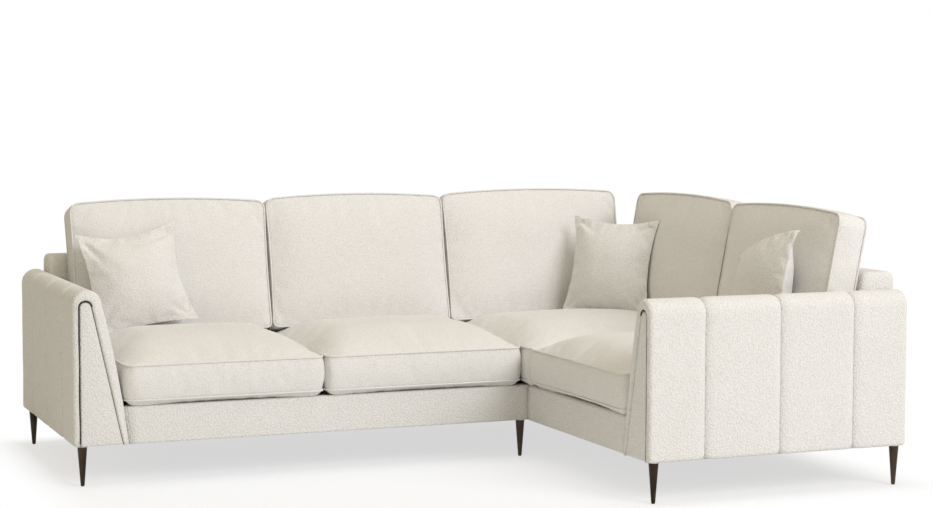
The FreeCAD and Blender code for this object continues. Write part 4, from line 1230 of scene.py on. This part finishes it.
def make_floor():
    """A pale floor that keeps the sofa's shadow and looks white to the camera."""
    mesh = bpy.data.meshes.new("Floor")
    size = 30.0
    corners = [(x, y, 0) for x, y in rectangle(-size, size, -size, size)]
    mesh.from_pydata(corners, [], [(0, 1, 2, 3)])
    floor = link("Floor", mesh)
    paint = bpy.data.materials.new("Floor")
    paint.use_nodes = True
    tree = paint.node_tree
    surface = tree.nodes["Principled BSDF"]
    values = {"Base Color": (0.90, 0.93, 0.97, 1), "Roughness": 0.9, "Specular IOR Level": 0.0}
    for key, value in values.items():
        surface.inputs[key].default_value = value
    glow = node(tree, "ShaderNodeEmission", {"Color": (1, 1, 1, 1), "Strength": 1.0})
    place = tree.nodes.new("ShaderNodeTexCoord").outputs["Object"]
    split = node(tree, "ShaderNodeSeparateXYZ", {0: place}).outputs
    beyond = 0.0
    for axis, half in (("X", RIGHT), ("Y", REAR)):
        past = maths(tree, "SUBTRACT", maths(tree, "ABSOLUTE", split[axis]), half)
        past = maths(tree, "MAXIMUM", past, 0.0)
        beyond = maths(tree, "ADD", maths(tree, "POWER", past, 2.0), beyond)
    reach = {"From Min": -0.12, "From Max": 0.17, "To Min": 0.45, "To Max": 1.0}
    reach["Value"] = maths(tree, "SQRT", beyond)
    away = node(tree, "ShaderNodeMapRange", reach, interpolation_type="SMOOTHSTEP").outputs[0]
    share = maths(tree, "MULTIPLY", seen_share(tree), away)
    blend_out(tree, share, surface, glow, tree.nodes["Material Output"])
    mesh.materials.append(paint)


def make_world(scene):
    """Warm even light that looks white where the camera sees it."""
    scene.world = world = bpy.data.worlds.new("Room")
    world.use_nodes = True
    tree = world.node_tree
    for old in list(tree.nodes):
        tree.nodes.remove(old)
    lit = node(tree, "ShaderNodeBackground", {"Color": (1.0, 0.88, 0.65, 1), "Strength": 0.51})
    seen = node(tree, "ShaderNodeBackground", {"Color": (1, 1, 1, 1), "Strength": 1.0})
    blend_out(tree, seen_share(tree), lit, seen, tree.nodes.new("ShaderNodeOutputWorld"))


def add_lamp(name, place, size, power, tint):
    """A broad soft lamp that faces the sofa."""
    lamp = bpy.data.lights.new(name, "AREA")
    lamp.shape = "DISK"
    lamp.size = size
    lamp.energy = power
    lamp.color = tint
    holder = link(name, lamp)
    holder.location = place
    aim = Vector((0.1, 0.1, 0.35)) - Vector(place)
    holder.rotation_euler = aim.to_track_quat("-Z", "Y").to_euler()


def make_camera(scene):
    """The camera at the photograph's place and angle."""
    lens = bpy.data.cameras.new("Camera")
    lens.sensor_width = 36.0
    lens.lens = 78.21
    holder = link("Camera", lens)
    yaw, pitch, roll = math.radians(22.1187), math.radians(4.2188), math.radians(0.1095)
    ahead = Vector((math.sin(yaw) * math.cos(pitch), math.cos(yaw) * math.cos(pitch), -math.sin(pitch)))
    right = Vector((math.cos(yaw), -math.sin(yaw), 0))
    up = right.cross(ahead)
    side = right * math.cos(roll) + up * math.sin(roll)
    rise = up * math.cos(roll) - right * math.sin(roll)
    turn = Matrix((side, rise, -ahead)).transposed()
    holder.matrix_world = Matrix.Translation((-2.527, -6.4558, 1.2377)) @ turn.to_4x4()
    scene.camera = holder


STEPS = (
    SOFA_OT_finishes, SOFA_OT_arms, SOFA_OT_rails, SOFA_OT_backs,
    SOFA_OT_cushions, SOFA_OT_underside, SOFA_OT_hardware, SOFA_OT_stage,
)


class SOFA_PT_panel(bpy.types.Panel):
    """Lists the steps and the settings of the sofa"""
    bl_idname = "SOFA_PT_panel"
    bl_label = "Corner sofa"
    bl_space_type = "VIEW_3D"
    bl_region_type = "UI"
    bl_category = "Sofa"

    def draw(self, context):
        for group in (context.scene.sofa_sizes, context.scene.sofa_colours):
            for name in group.__annotations__:
                self.layout.prop(group, name)
        for step in STEPS:
            self.layout.operator(step.bl_idname)


CLASSES = (SofaSizes, SofaColours) + STEPS + (SOFA_PT_panel,)


def register():
    """Add the settings, the steps and the panel."""
    for item in CLASSES:
        bpy.utils.register_class(item)
    bpy.types.Scene.sofa_sizes = bpy.props.PointerProperty(type=SofaSizes)
    bpy.types.Scene.sofa_colours = bpy.props.PointerProperty(type=SofaColours)


def unregister():
    """Take the settings, the steps and the panel away again."""
    del bpy.types.Scene.sofa_sizes
    del bpy.types.Scene.sofa_colours
    for item in reversed(CLASSES):
        bpy.utils.unregister_class(item)


def main():
    """Run every step."""
    register()
    for step in STEPS:
        group, name = step.bl_idname.split(".")
        getattr(getattr(bpy.ops, group), name)()


if __name__ == "__main__":
    main()
